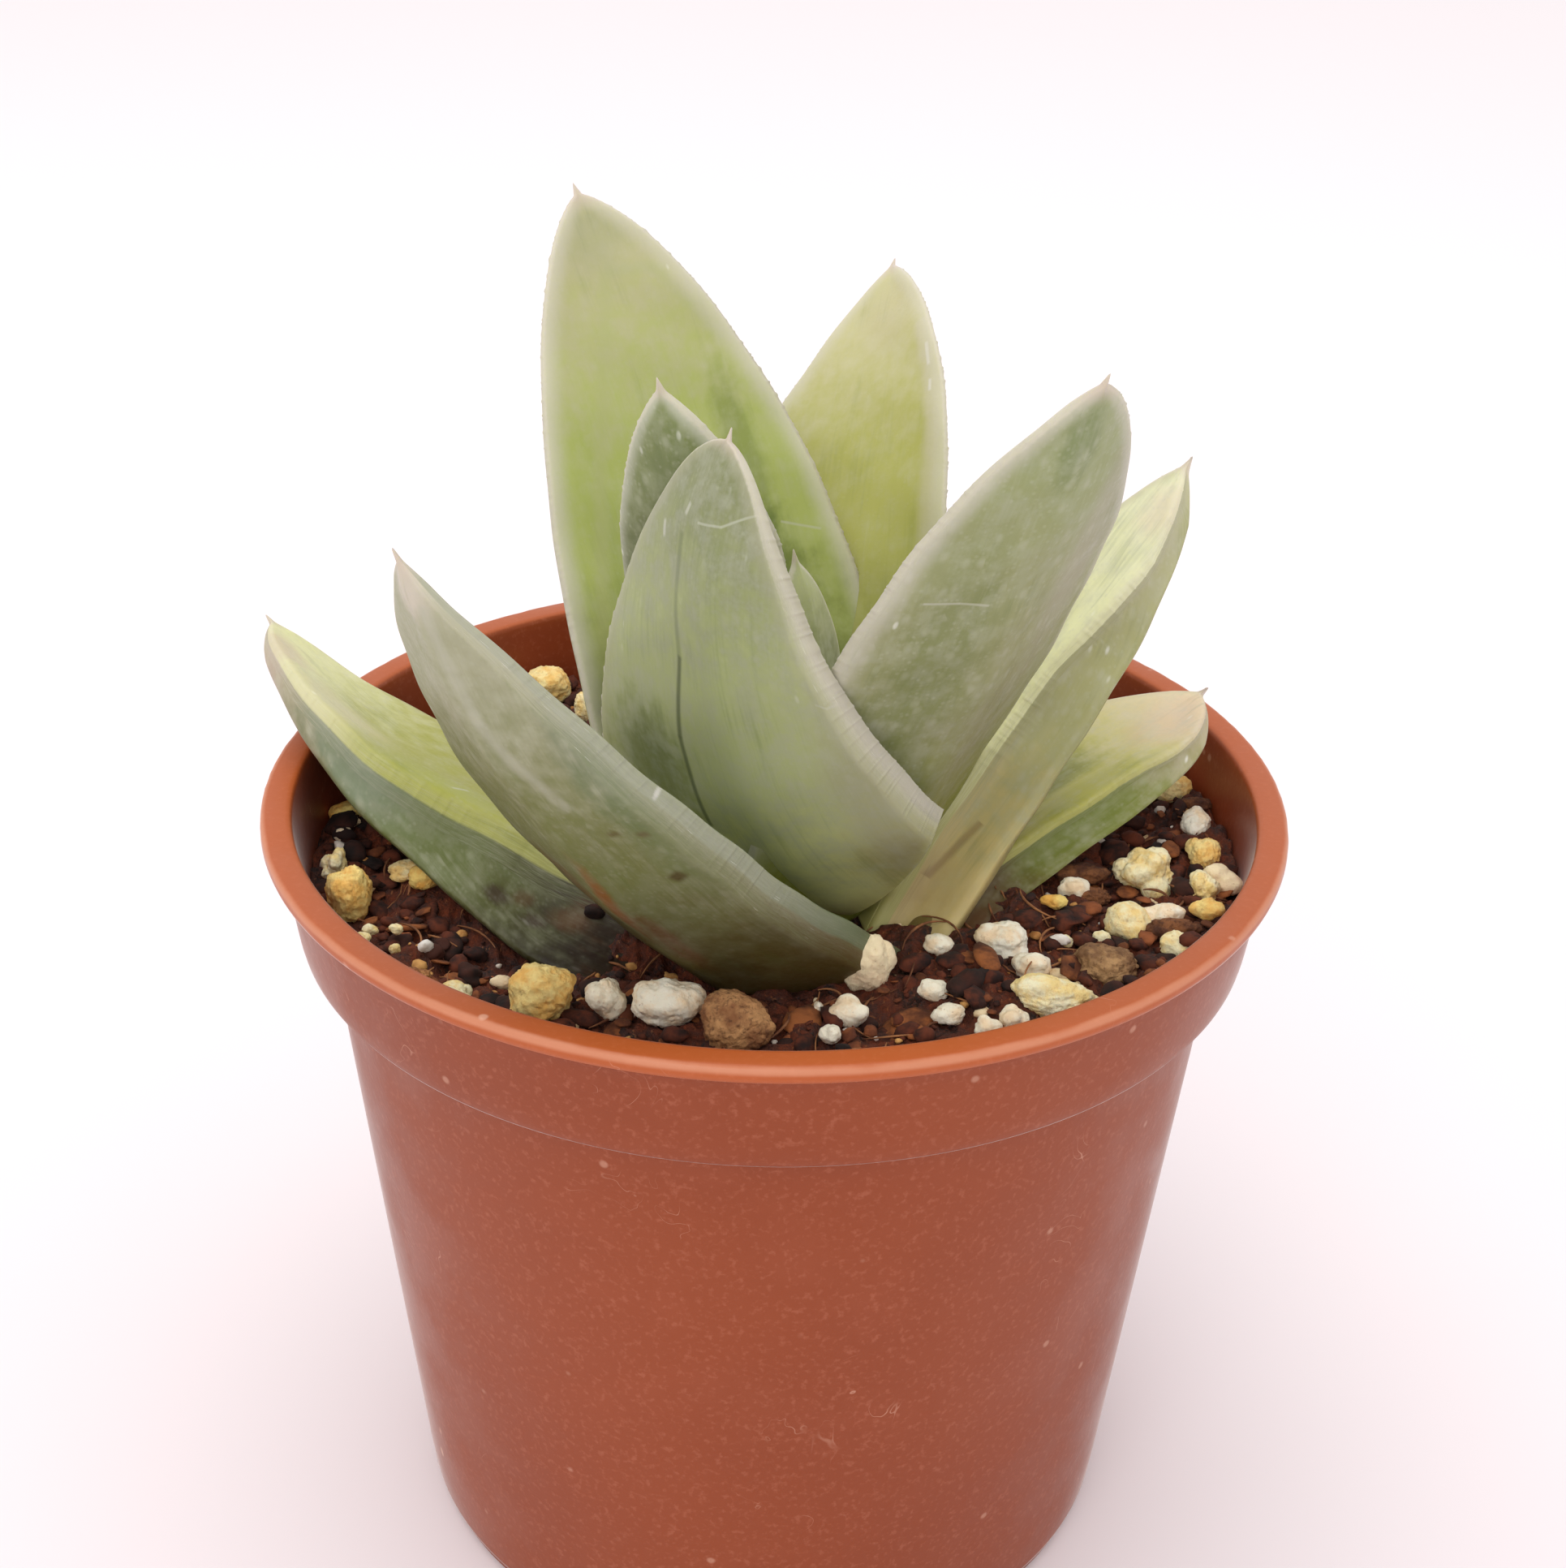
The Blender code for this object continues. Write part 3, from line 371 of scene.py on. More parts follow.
class Graph:
    """A material's node tree with short calls for the nodes used here."""

    def __init__(self, name):
        self.material = bpy.data.materials.new(name)
        self.material.use_nodes = True
        self.tree = self.material.node_tree
        self.shader = self.tree.nodes["Principled BSDF"]

    def fill(self, node, inputs):
        # Each input takes a link or a constant.
        for key, value in inputs.items():
            if isinstance(value, bpy.types.NodeSocket):
                self.tree.links.new(value, node.inputs[key])
            else:
                node.inputs[key].default_value = value

    def node(self, kind, inputs, **settings):
        made = self.tree.nodes.new("ShaderNode" + kind)
        for key, value in settings.items():
            setattr(made, key, value)
        self.fill(made, inputs)
        return made.outputs

    def surface(self, roughness, relief, strength, distance, more):
        # The painted colour, roughness, bump and more values, on the shader's own sockets.
        self.fill(self.shader, {"Base Color": self.colour, "Roughness": roughness, **more})
        bump = self.node("Bump", {"Strength": strength, "Distance": distance, "Height": relief})
        self.fill(self.shader, {"Normal": bump["Normal"]})
        return self.material

    def math(self, operation, a, b=0):
        return self.node("Math", {0: a, 1: b}, operation=operation)[0]

    def add(self, a, b):
        return self.math("ADD", a, b)

    def sub(self, a, b):
        return self.math("SUBTRACT", a, b)

    def mul(self, a, b):
        return self.math("MULTIPLY", a, b)

    def swing(self, value, amount):
        # A pattern from 0 to 1 as one round 0, times the amount.
        return self.mul(self.sub(value, 0.5), amount)

    def ramp(self, value, low, high, start=0, end=1):
        inputs = {"Value": value, "From Min": low, "From Max": high, "To Min": start, "To Max": end}
        return self.node("MapRange", inputs, interpolation_type="SMOOTHSTEP")["Result"]

    def mix(self, share, a, b):
        return self.node("Mix", {"Factor": share, 6: a, 7: b}, data_type="RGBA")[2]

    def paint(self, mask, colour, gain=1):
        # An sRGB colour laid over what has been painted so far.
        self.colour = self.mix(mask, self.colour, linear(colour, gain))

    def blend(self, share, first, second):
        # Two sRGB colours mixed.
        return self.mix(share, linear(first), linear(second))

    def parts(self, vector):
        made = self.node("SeparateXYZ", {0: vector})
        return made[0], made[1], made[2]

    def noise(self, vector, scale, detail=3, rough=0.55, distortion=0):
        inputs = {"Vector": vector, "Scale": scale, "Detail": detail, "Roughness": rough}
        return self.node("TexNoise", {**inputs, "Distortion": distortion})["Fac"]

    def cells(self, vector, scale):
        return self.node("TexVoronoi", {"Vector": vector, "Scale": scale})

    def speckles(self, place, scale, low, high, share):
        # Small round dots: the distance in a cell pattern, kept only in some of the cells.
        pattern = self.cells(place, scale)
        dot = self.ramp(pattern["Distance"], low, high, 1, 0)
        pick = self.node("SeparateColor", {0: pattern["Color"]})
        return self.mul(dot, self.ramp(pick[0], 1 - share, 1 - share + 0.08))

    def place(self):
        return self.node("TexCoord", {})["Object"]

    def attribute(self, name):
        return self.node("Attribute", {}, attribute_name=name)["Vector"]

    def vector_math(self, operation, vector, values):
        return self.node("VectorMath", {0: vector, 1: values}, operation=operation)

    def scaled(self, vector, x, y, z):
        return self.vector_math("MULTIPLY", vector, (x, y, z))[0]


def glow_through(weight, radius):
    # How much light enters a surface, and how far red, green and blue go in it, in metres.
    return {"Subsurface Weight": weight, "Subsurface Radius": radius, "Subsurface Scale": 1.0}


class LeafSkin(Graph):
    """A leaf's skin, painted in layers. Its patterns are measured in millimetres."""

    def __init__(self, leaf):
        super().__init__(leaf.name + "_skin")
        self.name = leaf.name
        self.front = leaf.front
        self.tint = TINTS[self.name]
        self.spot = self.attribute("leaf_place")
        self.across, self.along, self.upper = self.parts(self.spot)
        self.share, self.edge, _ = self.parts(self.attribute("leaf_marks"))
        self.skin = self.attribute("leaf_skin")
        self.medium = self.noise(self.skin, 0.5, 3)
        self.fine = self.noise(self.skin, 2.6, 3)
        self.streak = self.noise(self.scaled(self.skin, 1, 0.1, 1), 0.9, 3)
        self.thread = self.noise(self.scaled(self.skin, 1, 0.04, 1), 3.6, 2)
        self.height = self.add(self.share, self.swing(self.medium, 0.3))
        # The foot has less bloom and fewer pale veins than the rest.
        self.fresh = self.ramp(self.height, 0.08, 0.45, 0.15, 1)

    def paint(self, mask, colour, gain=LEAF_GAIN):
        super().paint(mask, colour, gain)

    def on_face(self, face, strength):
        # The strength on one face of the leaf, and 0 on the other.
        return self.mul(self.ramp(self.upper, 0.4, 0.6, 1.0 - face, face), strength)


def face_colour(g, colours, gain):
    foot, middle, tip = colours
    low = g.mix(g.ramp(g.height, 0.1, 0.48), linear(foot, gain), linear(middle, gain))
    return g.mix(g.ramp(g.height, 0.56, 0.95), low, linear(tip, gain))


def paint_ground(g):
    lower = face_colour(g, g.tint.lower, LEAF_GAIN)
    upper = face_colour(g, g.tint.upper, g.tint.upper_gain)
    g.colour = g.mix(g.ramp(g.upper, 0.45, 0.55), lower, upper)


def paint_patches(g):
    # Soft patches with uneven outlines; a few are painted shade and one is a painted highlight.
    wobble = g.add(g.swing(g.medium, 0.9), g.swing(g.streak, 0.5))
    for x, run, reach_x, reach_run, face, strength, colour in PATCHES.get(g.name, []):
        offset = g.vector_math("SUBTRACT", g.spot, (x, run, 0))[0]
        squeezed = g.scaled(offset, 1 / reach_x, 1 / reach_run, 0)
        distance = g.vector_math("LENGTH", squeezed, (0, 0, 0))["Value"]
        mask = g.ramp(g.add(distance, wobble), 0.25, 1.15, 1, 0)
        g.paint(g.mul(mask, g.on_face(face, strength)), colour)


def paint_veins(g):
    # Lengthwise veins and broad blotches, darker and paler than the ground.
    broad = g.noise(g.skin, 0.14, 2)
    shade = g.add(g.swing(g.streak, 0.3), g.swing(g.thread, 0.22))
    shade = g.add(shade, g.swing(broad, 0.4))
    streaks = g.tint.streaks
    g.paint(g.ramp(shade, -0.16, 0, 0.36 * streaks, 0), (112, 132, 62))
    pale = g.mul(g.ramp(shade, 0, 0.16, 0, 0.26 * streaks), g.fresh)
    g.paint(pale, (222, 220, 194))


def paint_bloom(g):
    # Whitish bloom in cloudy patches.
    mixed = g.add(g.mul(g.medium, 0.7), g.mul(g.fine, 0.3))
    cloud = g.mul(g.ramp(mixed, 0.4, 0.64), g.tint.bloom)
    g.paint(g.mul(cloud, g.fresh), (214, 214, 196))


def paint_specks(g):
    # Pale raised specks in two sizes, thicker towards the tip.
    where = g.ramp(g.add(g.share, g.swing(g.medium, 0.6)), 0.12, 0.5, 0.3, 1)
    large = g.speckles(g.scaled(g.skin, 1, 0.72, 1), 1.05, 0.1, 0.55, 0.55)
    over, run, side = g.parts(g.skin)
    moved = g.node("CombineXYZ", {0: g.add(over, 31), 1: run, 2: side})[0]
    small = g.speckles(moved, 2.1, 0.1, 0.5, 0.5)
    g.dots = g.mul(g.math("MAXIMUM", large, g.mul(small, 0.7)), where)
    g.paint(g.mul(g.dots, g.tint.speck * 0.6), (226, 226, 200))


def stroke(g, start, end, half_width, soft):
    # The mask of a straight stroke from start to end, faded at both ends.
    dx = end[0] - start[0]
    dy = end[1] - start[1]
    size = math.hypot(dx, dy)
    ux = dx / size
    uy = dy / size
    px = g.sub(g.across, start[0])
    py = g.sub(g.along, start[1])
    run = g.add(g.mul(px, ux), g.mul(py, uy))
    off = g.math("ABSOLUTE", g.sub(g.mul(py, ux), g.mul(px, uy)))
    beside = g.ramp(off, half_width * 0.5, half_width + soft, 1, 0)
    ends = min(0.4, half_width + soft * 0.5)
    begun = g.ramp(run, -ends, ends * 0.5)
    left = g.ramp(run, size - ends * 0.5, size + ends, 1, 0)
    return g.mul(beside, g.mul(begun, left))


def paint_lines(g):
    # Fine lines over the skin; the first two on leaf_front_centre are painted shade in a groove.
    for points, half_width, soft, face, strength, colour in LINES.get(g.name, []):
        for start, end in zip(points, points[1:]):
            mask = stroke(g, start, end, half_width, soft)
            g.paint(g.mul(mask, g.on_face(face, strength)), colour)


def paint_margin(g):
    # A soft pale band with a thin horny line at its edge, fainter near the foot.
    begin = g.tint.margin_from
    g.margin_share = g.ramp(g.share, begin, begin + 0.35, 0.15, 1)
    side = g.mul(g.across, g.front)
    side_share = g.ramp(side, -1, 1, 1, g.tint.ridge)
    rim = g.add(g.edge, g.swing(g.fine, 0.35))
    band = g.ramp(rim, 0.2, g.tint.edge * 1.5, g.tint.band, 0)
    band = g.mul(band, g.margin_share)
    g.paint(g.mul(band, side_share), g.tint.margin)
    horn = g.mul(g.ramp(rim, 0.1, 0.42, g.tint.horn, 0), g.margin_share)
    g.paint(g.mul(horn, side_share), (240, 232, 214))


def paint_nicks(g):
    # A few white nicks beside the margins.
    nicks = g.speckles(g.scaled(g.skin, 1, 0.5, 1), 0.75, 0.07, 0.2, 0.22)
    nicks = g.mul(nicks, g.ramp(g.edge, 0.6, 3.2, 0.75, 0))
    g.paint(g.mul(nicks, g.margin_share), (250, 250, 240), 0.9)


def paint_foot_and_tip(g):
    # A brown stain at the foot and a whitish tip.
    rust = g.noise(g.scaled(g.skin, 1, 0.6, 1), 0.42, 4)
    low = g.ramp(g.add(g.along, g.swing(rust, -16)), 1, 9, 1, 0)
    g.paint(g.mul(low, g.tint.stain), (112, 72, 36))
    g.paint(g.ramp(g.share, 0.955, 0.99, 0, 0.7), (232, 212, 200))


def leaf_material(leaf):
    g = LeafSkin(leaf)
    paint_ground(g)
    paint_patches(g)
    paint_veins(g)
    paint_bloom(g)
    paint_specks(g)
    paint_lines(g)
    paint_margin(g)
    paint_nicks(g)
    paint_foot_and_tip(g)
    # Satin, a little translucent, with relief from the specks and veins.
    satin = g.ramp(g.fine, 0.3, 0.7, 0.44, 0.58)
    specks = g.mul(g.dots, 0.4 * g.tint.speck + 0.1)
    relief = g.add(g.add(specks, g.mul(g.thread, 0.3)), g.mul(g.fine, 0.22))
    more = {"IOR": 1.42, **glow_through(0.22, (0.0016, 0.0018, 0.0006))}
    return g.surface(satin, relief, 0.4, 0.00009, more)


def add_object(name, data):
    made = bpy.data.objects.new(name, data)
    bpy.context.collection.objects.link(made)
    return made


def mesh_piece(name, points, faces, material, attributes=None):
    # A smooth piece. The points are in millimetres, as an array or a list.
    mesh = bpy.data.meshes.new(name)
    points = np.asarray(points, dtype=float) * MM
    mesh.from_pydata(points.tolist(), [], faces)
    for key, values in (attributes or {}).items():
        layer = mesh.attributes.new(key, "FLOAT_VECTOR", "POINT")
        layer.data.foreach_set("vector", np.asarray(values, dtype=np.float32).ravel())
    mesh.polygons.foreach_set("use_smooth", [True] * len(mesh.polygons))
    mesh.materials.append(material)
    mesh.update()
    return add_object(name, mesh)


def settle(obj, nodes):
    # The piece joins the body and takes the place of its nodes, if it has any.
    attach(obj, "root")
    if nodes:
        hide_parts(*nodes)


def right_way_out(obj):
    shell = bmesh.new()
    shell.from_mesh(obj.data)
    if shell.calc_volume(signed=True) < 0:
        bmesh.ops.reverse_faces(shell, faces=shell.faces)
        shell.to_mesh(obj.data)
    shell.free()


def ring_pairs(count):
    return [(i, (i + 1) % count) for i in range(count)]


def band_faces(start, columns, following):
    # Faces between the ring of points at start and the one at following.
    return [(start + a, start + b, following + b, following + a) for a, b in ring_pairs(columns)]


def grid_faces(rows, columns):
    faces = []
    for k in range(rows - 1):
        faces += band_faces(k * columns, columns, (k + 1) * columns)
    return faces


def polar(radius, turn):
    return radius * math.cos(turn), radius * math.sin(turn)


def smooth_step(value):
    value = np.clip(value, 0, 1)
    return value * value * (3 - 2 * value)


def follow(knots, t):
    # The height at t of the curve through the knots.
    knots = np.array(knots)
    return np.interp(t, knots[:, 0], knots[:, 1])


def turning(pair, stations):
    return np.radians(pair[0] + (pair[1] - pair[0]) * stations)


def leaf_foot(leaf):
    side = math.radians(leaf.azimuth[0] if leaf.foot_side is None else leaf.foot_side)
    x = STEM_X + leaf.foot * math.cos(side)
    y = STEM_Y + leaf.foot * math.sin(side)
    return np.array([x, y, leaf.level])


def leaf_frame(leaf, t):
    # The midline and its three directions at t, which is 0 at the foot and 1 at the tip.
    stations = np.linspace(-0.4, 1, 701)
    foot_station = 200
    azimuth = turning(leaf.azimuth, stations)
    lean = turning(leaf.lean, stations)
    roll = turning(leaf.roll, stations)
    along = np.stack([np.sin(lean) * np.cos(azimuth), np.sin(lean) * np.sin(azimuth), np.cos(lean)], 1)
    side = np.stack([-np.sin(azimuth), np.cos(azimuth), 0 * azimuth], 1)
    face = np.stack([-np.cos(lean) * np.cos(azimuth), -np.cos(lean) * np.sin(azimuth), np.sin(lean)], 1)
    steps = (along[1:] + along[:-1]) / 2 * (leaf.length * (stations[1] - stations[0]))
    centre = np.vstack([np.zeros((1, 3)), np.cumsum(steps, 0)])
    centre = centre - centre[foot_station] + leaf_foot(leaf)
    drift = np.array(leaf.drift)
    centre = centre + drift * np.clip(1 - stations / 0.45, 0, 2)[:, None] ** 2
    across = side * np.cos(roll)[:, None] + face * np.sin(roll)[:, None]
    upward = face * np.cos(roll)[:, None] - side * np.sin(roll)[:, None]
    made = []
    for values in (centre, along, across, upward):
        made.append(np.stack([np.interp(t, stations, values[:, i]) for i in range(3)], -1))
    return made


def leaf_widths(leaf, t):
    # Half width and depth. The blade ends just short of the needle tip.
    length = leaf.length
    widest = leaf.widest
    body = np.clip(t / (1 - 0.9 / length), 0, 1)
    rise = leaf.foot_share + (1 - leaf.foot_share) * np.sin(np.pi / 2 * np.clip(body / widest, 0, 1))
    fall = np.clip((body - widest) / (1 - widest), 0, 1)
    fall = np.clip(1 - fall ** leaf.taper, 0, 1) ** leaf.fullness
    half = leaf.width / 2 * np.where(body < widest, rise, fall)
    swell = 0.8 + 0.2 * np.sin(np.pi / 2 * np.clip(body / 0.15, 0, 1))
    thin = np.clip(1 - np.clip((body - 0.15) / 0.85, 0, 1) ** 2, 0, 1) ** 0.8
    depth = leaf.thick * np.where(body < 0.15, swell, thin)
    needle = 0.05 + 0.34 * np.clip((1 - t) * length, 0, 1)
    half = (half ** 3 + needle ** 3) ** (1 / 3)
    depth = (depth ** 2 + (needle * 0.6) ** 2) ** 0.5
    return half, depth


def leaf_grid(leaf):
    # Where a leaf's points lie. r goes across from -1 to 1, over the upper face and back over the
    # lower one, q is r with the front side at 1, and t goes from the foot to the tip.
    grid = SimpleNamespace()
    even = np.linspace(-1, 1, ACROSS)
    spread = np.sin(np.pi / 2 * even) * 0.5 + even * 0.5
    grid.r = np.concatenate([spread[::-1], spread[1:-1]])[None, :]
    grid.rows = int(leaf.length * ROWS_PER_MM)
    grid.columns = grid.r.shape[1]
    grid.front = leaf.front
    grid.q = grid.r * grid.front
    grid.top = (np.arange(grid.columns) < ACROSS)[None, :]
    first, last = leaf.start
    slant = first + (last - first) * ((1 + grid.r) / 2) ** 3
    share = np.linspace(0, 1, grid.rows)[:, None]
    grid.t = share + (1 - share) ** 1.5 * slant
    grid.run = grid.t * leaf.length
    grid.half, grid.depth = leaf_widths(leaf, grid.t)
    grid.inner = np.maximum(grid.half - 0.3, grid.half * 0.5)
    return grid


def leaf_teeth(grid, seed):
    # Fine teeth on the margins, which begin above the foot and end before the tip.
    run = grid.run
    phase = run / 0.62 + 0.6 * np.sin(run * 0.9 + seed) + 0.4 * np.sin(run * 2.3)
    tooth = np.clip(np.cos(2 * np.pi * phase), 0, 1) ** 1.5 * (0.6 + 0.4 * np.sin(run * 5.1 + seed))
    return tooth * np.clip((grid.t - 0.22) / 0.2, 0, 1) * np.clip((1 - grid.t) / 0.04, 0, 1) * 0.13


def leaf_reach(leaf, grid, seed):
    # How far each point lies to the side of the midline.
    r = grid.r
    q = grid.q
    near_margin = np.clip((np.abs(r) - 0.985) / 0.015, 0, 1)
    reach = grid.inner * r + np.sign(r) * np.abs(r) ** 6 * np.minimum(0.3, grid.half * 0.5)
    reach = reach + np.sign(r) * near_margin * leaf_teeth(grid, seed)
    # The front margin may lie inside the outline, with the rounded side below it.
    shift = (follow(leaf.inset, grid.t - 0.04) + follow(leaf.inset, grid.t + 0.04)) / 2
    pull = np.where(grid.top, smooth_step((q + 0.3) / 1.3), smooth_step((q - 0.74) / 0.26))
    reach = reach - grid.front * shift * pull
    bulge = follow(leaf.swell, grid.t) * np.sin(np.pi * np.clip((1 - q) / 1.1, 0, 1) ** 0.65)
    return reach + np.where(grid.top, 0, grid.front * bulge)


def leaf_belly(leaf, grid):
    # The lower face, between a keeled wedge and a round bowl.
    r = grid.r
    keel = leaf.keel
    wedge = np.sqrt(np.clip(np.abs(r - keel), 0, 2) ** 2 + 0.004)
    wedge = np.clip(1 - (wedge - 0.06) / (1 + abs(keel)), 0, 1) ** 0.75
    bowl = np.clip(1 - np.abs(r) ** 2.3, 0, 1) ** 0.55
    return -grid.depth * (wedge * (1 - leaf.plump) + bowl * leaf.plump)


def leaf_height(leaf, grid, seed):
    # How far each point lies above or below the midline.
    r = grid.r
    run = grid.run
    hollow = -leaf.channel * grid.inner * (1 - r ** 2)
    hollow = hollow + 0.12 * grid.depth * np.sqrt(np.clip(1 - r ** 2, 0, 1))
    edge = np.minimum(0.3, 0.06 + 0.10 * grid.half)
    lip = edge * 0.9 * np.sqrt(np.clip(1 - np.abs(r) ** 10, 0, 1))
    height = np.where(grid.top, hollow + lip, leaf_belly(leaf, grid) - lip)
    # Gentle unevenness so that no face is perfectly smooth.
    wave = 0.10 * np.sin(run * 0.35 + r * 2.1 + seed) + 0.06 * np.sin(run * 0.8 - r * 5.0 + 2 * seed)
    return height + wave * np.clip(grid.half / 4, 0, 1)


def leaf_attributes(leaf, grid, reach, height):
    # What the skin is painted by: place across and along with the face, share of the length with
    # the distance from the margin, and distance over the skin, so that no pattern is stretched.
    top = np.repeat(grid.top, grid.rows, 0)
    margin = (1 - np.abs(grid.r)) * grid.half
    steps = np.linalg.norm(np.diff(np.stack([reach, height], 2), axis=1), axis=2)
    arc = np.hstack([np.zeros((grid.rows, 1)), np.cumsum(steps, 1)])
    middle_top = arc[:, ACROSS // 2][:, None]
    middle_low = arc[:, ACROSS + (ACROSS - 2) // 2][:, None]
    arc = np.where(grid.top, arc - middle_top, arc - middle_low)
    place = np.stack([grid.r * grid.half, grid.run, top], 2).reshape(-1, 3)
    marks = np.stack([grid.t, margin, 0 * margin], 2).reshape(-1, 3)
    skin = np.stack([arc, grid.run, top * 40], 2).reshape(-1, 3)
    # The last two points are the middle of the foot and the tip.
    length = leaf.length
    return {
        "leaf_place": np.vstack([place, [[0, 0, 0.5]], [[0, length, 0.5]]]),
        "leaf_marks": np.vstack([marks, [[0, 5, 0]], [[1, 0, 0]]]),
        "leaf_skin": np.vstack([skin, [[0, 0, 0]], [[0, length, 0]]]),
    }


def leaf_faces(grid):
    faces = [tuple(reversed(face)) for face in grid_faces(grid.rows, grid.columns)]
    foot = grid.rows * grid.columns
    tip = foot + 1
    last_ring = (grid.rows - 1) * grid.columns
    for a, b in ring_pairs(grid.columns):
        faces.append((foot, a, b))
        faces.append((tip, last_ring + b, last_ring + a))
    return faces


def build_leaf(leaf, seed):
    grid = leaf_grid(leaf)
    reach = leaf_reach(leaf, grid, seed)
    height = leaf_height(leaf, grid, seed)
    centre, along, across, upward = leaf_frame(leaf, grid.t)
    points = centre + across * reach[:, :, None] + upward * height[:, :, None]
    foot_point = points[0].mean(0)[None, :]
    tip_point = points[-1].mean(0)[None, :] + along[-1, :1] * 0.12
    points = np.vstack([points.reshape(-1, 3), foot_point, tip_point])
    attributes = leaf_attributes(leaf, grid, reach, height)
    obj = mesh_piece(leaf.name + "_look", points, leaf_faces(grid), leaf_material(leaf), attributes)
    right_way_out(obj)
    settle(obj, [leaf.name])


def soil_height(x, y):
    bumps = 0.9 * noise.noise(Vector((x * 0.11, y * 0.11, 3.7)))
    bumps += 0.5 * noise.noise(Vector((x * 0.27, y * 0.27, 9.1)))
    return SOIL_LEVEL + bumps + 0.012 * x + 0.010 * y


def mix_surface(x, y):
    # The crumbly surface of the mix: the CAD's heap with lumps and crumbs on it.
    height = soil_height(x, y) - 0.25
    lump = noise.fractal(Vector((x * 0.33, y * 0.33, 1.3)), 1, 2, 4)
    crumb = noise.cell_vector(Vector((x * 0.9, y * 0.9, 0))).x
    ridge = abs(noise.noise(Vector((x * 0.9, y * 0.9, 5))))
    # A hollow under the leaf that lies low on the left.
    hollow = 3.4 * math.exp(-((x + 14) / 15) ** 2 - ((y + 14.5) / 8) ** 2)
    return height + 0.95 * lump - 1.1 * ridge + 0.12 * crumb - hollow


def inner_wall_radius(height):
    return 38.9 + 1.1 * ((height - STEP_HEIGHT) / BAND_HEIGHT)


def soil_material():
    g = Graph("mix_look")
    place = g.place()
    coarse = g.noise(place, 420, 5, 0.65)
    fine = g.noise(place, 2600, 4, 0.6)
    fibre = g.noise(g.scaled(place, 1, 0.18, 1), 3800, 2)
    g.colour = g.blend(g.ramp(coarse, 0.36, 0.64), (30, 10, 5), (116, 52, 24))
    g.paint(g.ramp(fine, 0.42, 0.66), (84, 37, 19))
    g.paint(g.ramp(fibre, 0.62, 0.72, 0, 0.6), (150, 92, 52))
    rough = g.ramp(coarse, 0.35, 0.6, 0.55, 0.95)
    return g.surface(rough, g.add(coarse, g.mul(fine, 0.6)), 0.9, 0.0006, {})


def build_soil():
    rings = 150
    spokes = 380
    # Radius and height of the rings of the skirt, which goes down to the underside.
    skirt = ((38.4, 59.6), (36.2, 58.3), (29, 5))
    turns = [2 * math.pi * i / spokes for i in range(spokes)]
    points = []
    for k in range(rings):
        radius = (k / (rings - 1)) ** 0.8 * (inner_wall_radius(62) - 0.15)
        for turn in turns:
            x, y = polar(radius, turn)
            points.append((x, y, mix_surface(x, y)))
    for radius, height in skirt:
        points += [(*polar(radius, turn), height) for turn in turns]
    faces = grid_faces(rings + len(skirt), spokes)
    faces.append(tuple(range(len(points) - spokes, len(points))))
    settle(mesh_piece("mix_surface", points, faces, soil_material()), ["soil"])


def ball(subdivisions):
    shell = bmesh.new()
    bmesh.ops.create_icosphere(shell, subdivisions=subdivisions, radius=1)
    points = np.array([vert.co for vert in shell.verts])
    faces = [tuple(vert.index for vert in face.verts) for face in shell.faces]
    shell.free()
    return points, faces


# Balls of unit radius, by the number of subdivisions, which grains and crumbs are made from.
BALLS = {n: ball(n) for n in (2, 3, 4, 5)}


def paint_pumice(g, tone, coarse, fine, pits):
    pale = g.blend(tone, (255, 250, 216), (255, 220, 116))
    warm = g.blend(tone, (255, 230, 158), (246, 182, 78))
    g.colour = g.mix(g.ramp(coarse, 0.38, 0.62), pale, warm)
    g.paint(g.ramp(fine, 0.55, 0.7, 0, 0.28), (206, 140, 66))
    g.paint(g.ramp(pits, 0.08, 0.22, 0.3, 0), (140, 88, 44))


def paint_perlite(g, tone, coarse, fine, pits):
    g.colour = g.blend(tone, (255, 250, 232), (255, 236, 196))
    g.paint(g.ramp(coarse, 0.4, 0.66), (248, 222, 184))
    g.paint(g.ramp(fine, 0.6, 0.7, 0, 0.45), (190, 146, 106))
    g.paint(g.ramp(pits, 0.04, 0.13, 0.4, 0), (128, 96, 72))


def paint_clay(g, tone, coarse, fine):
    dark = g.blend(tone, (118, 90, 60), (164, 102, 58))
    light = g.blend(tone, (186, 150, 104), (212, 150, 92))
    g.colour = g.mix(g.ramp(coarse, 0.36, 0.64), dark, light)
    g.paint(g.ramp(fine, 0.5, 0.68, 0, 0.6), (84, 52, 34))


def paint_bark(g, coarse, fine):
    g.colour = g.blend(g.ramp(coarse, 0.36, 0.64), (78, 42, 24), (140, 88, 50))
    g.paint(g.ramp(fine, 0.5, 0.68, 0, 0.6), (52, 26, 16))


def grit_material(kind, tone, seed):
    g = Graph("%s_%d_look" % (kind, seed))
    shift = (seed * 0.013, seed * 0.007, seed * 0.003)
    place = g.vector_math("ADD", g.place(), shift)[0]
    coarse = g.noise(place, 520, 4, 0.6)
    fine = g.noise(place, 2400, 4, 0.65)
    pits = g.cells(place, 1500)["Distance"]
    if kind == "pumice":
        paint_pumice(g, tone, coarse, fine, pits)
    elif kind == "perlite":
        paint_perlite(g, tone, coarse, fine, pits)
    elif kind == "clay":
        paint_clay(g, tone, coarse, fine)
    else:
        paint_bark(g, coarse, fine)
    glow = glow_through(0.15, (0.0006, 0.0005, 0.0004)) if kind in ("perlite", "pumice") else {}
    relief = g.add(g.mul(fine, 0.8), g.mul(pits, 0.5))
    return g.surface(0.85, relief, BUMP_BY_KIND[kind], 0.0003, glow)


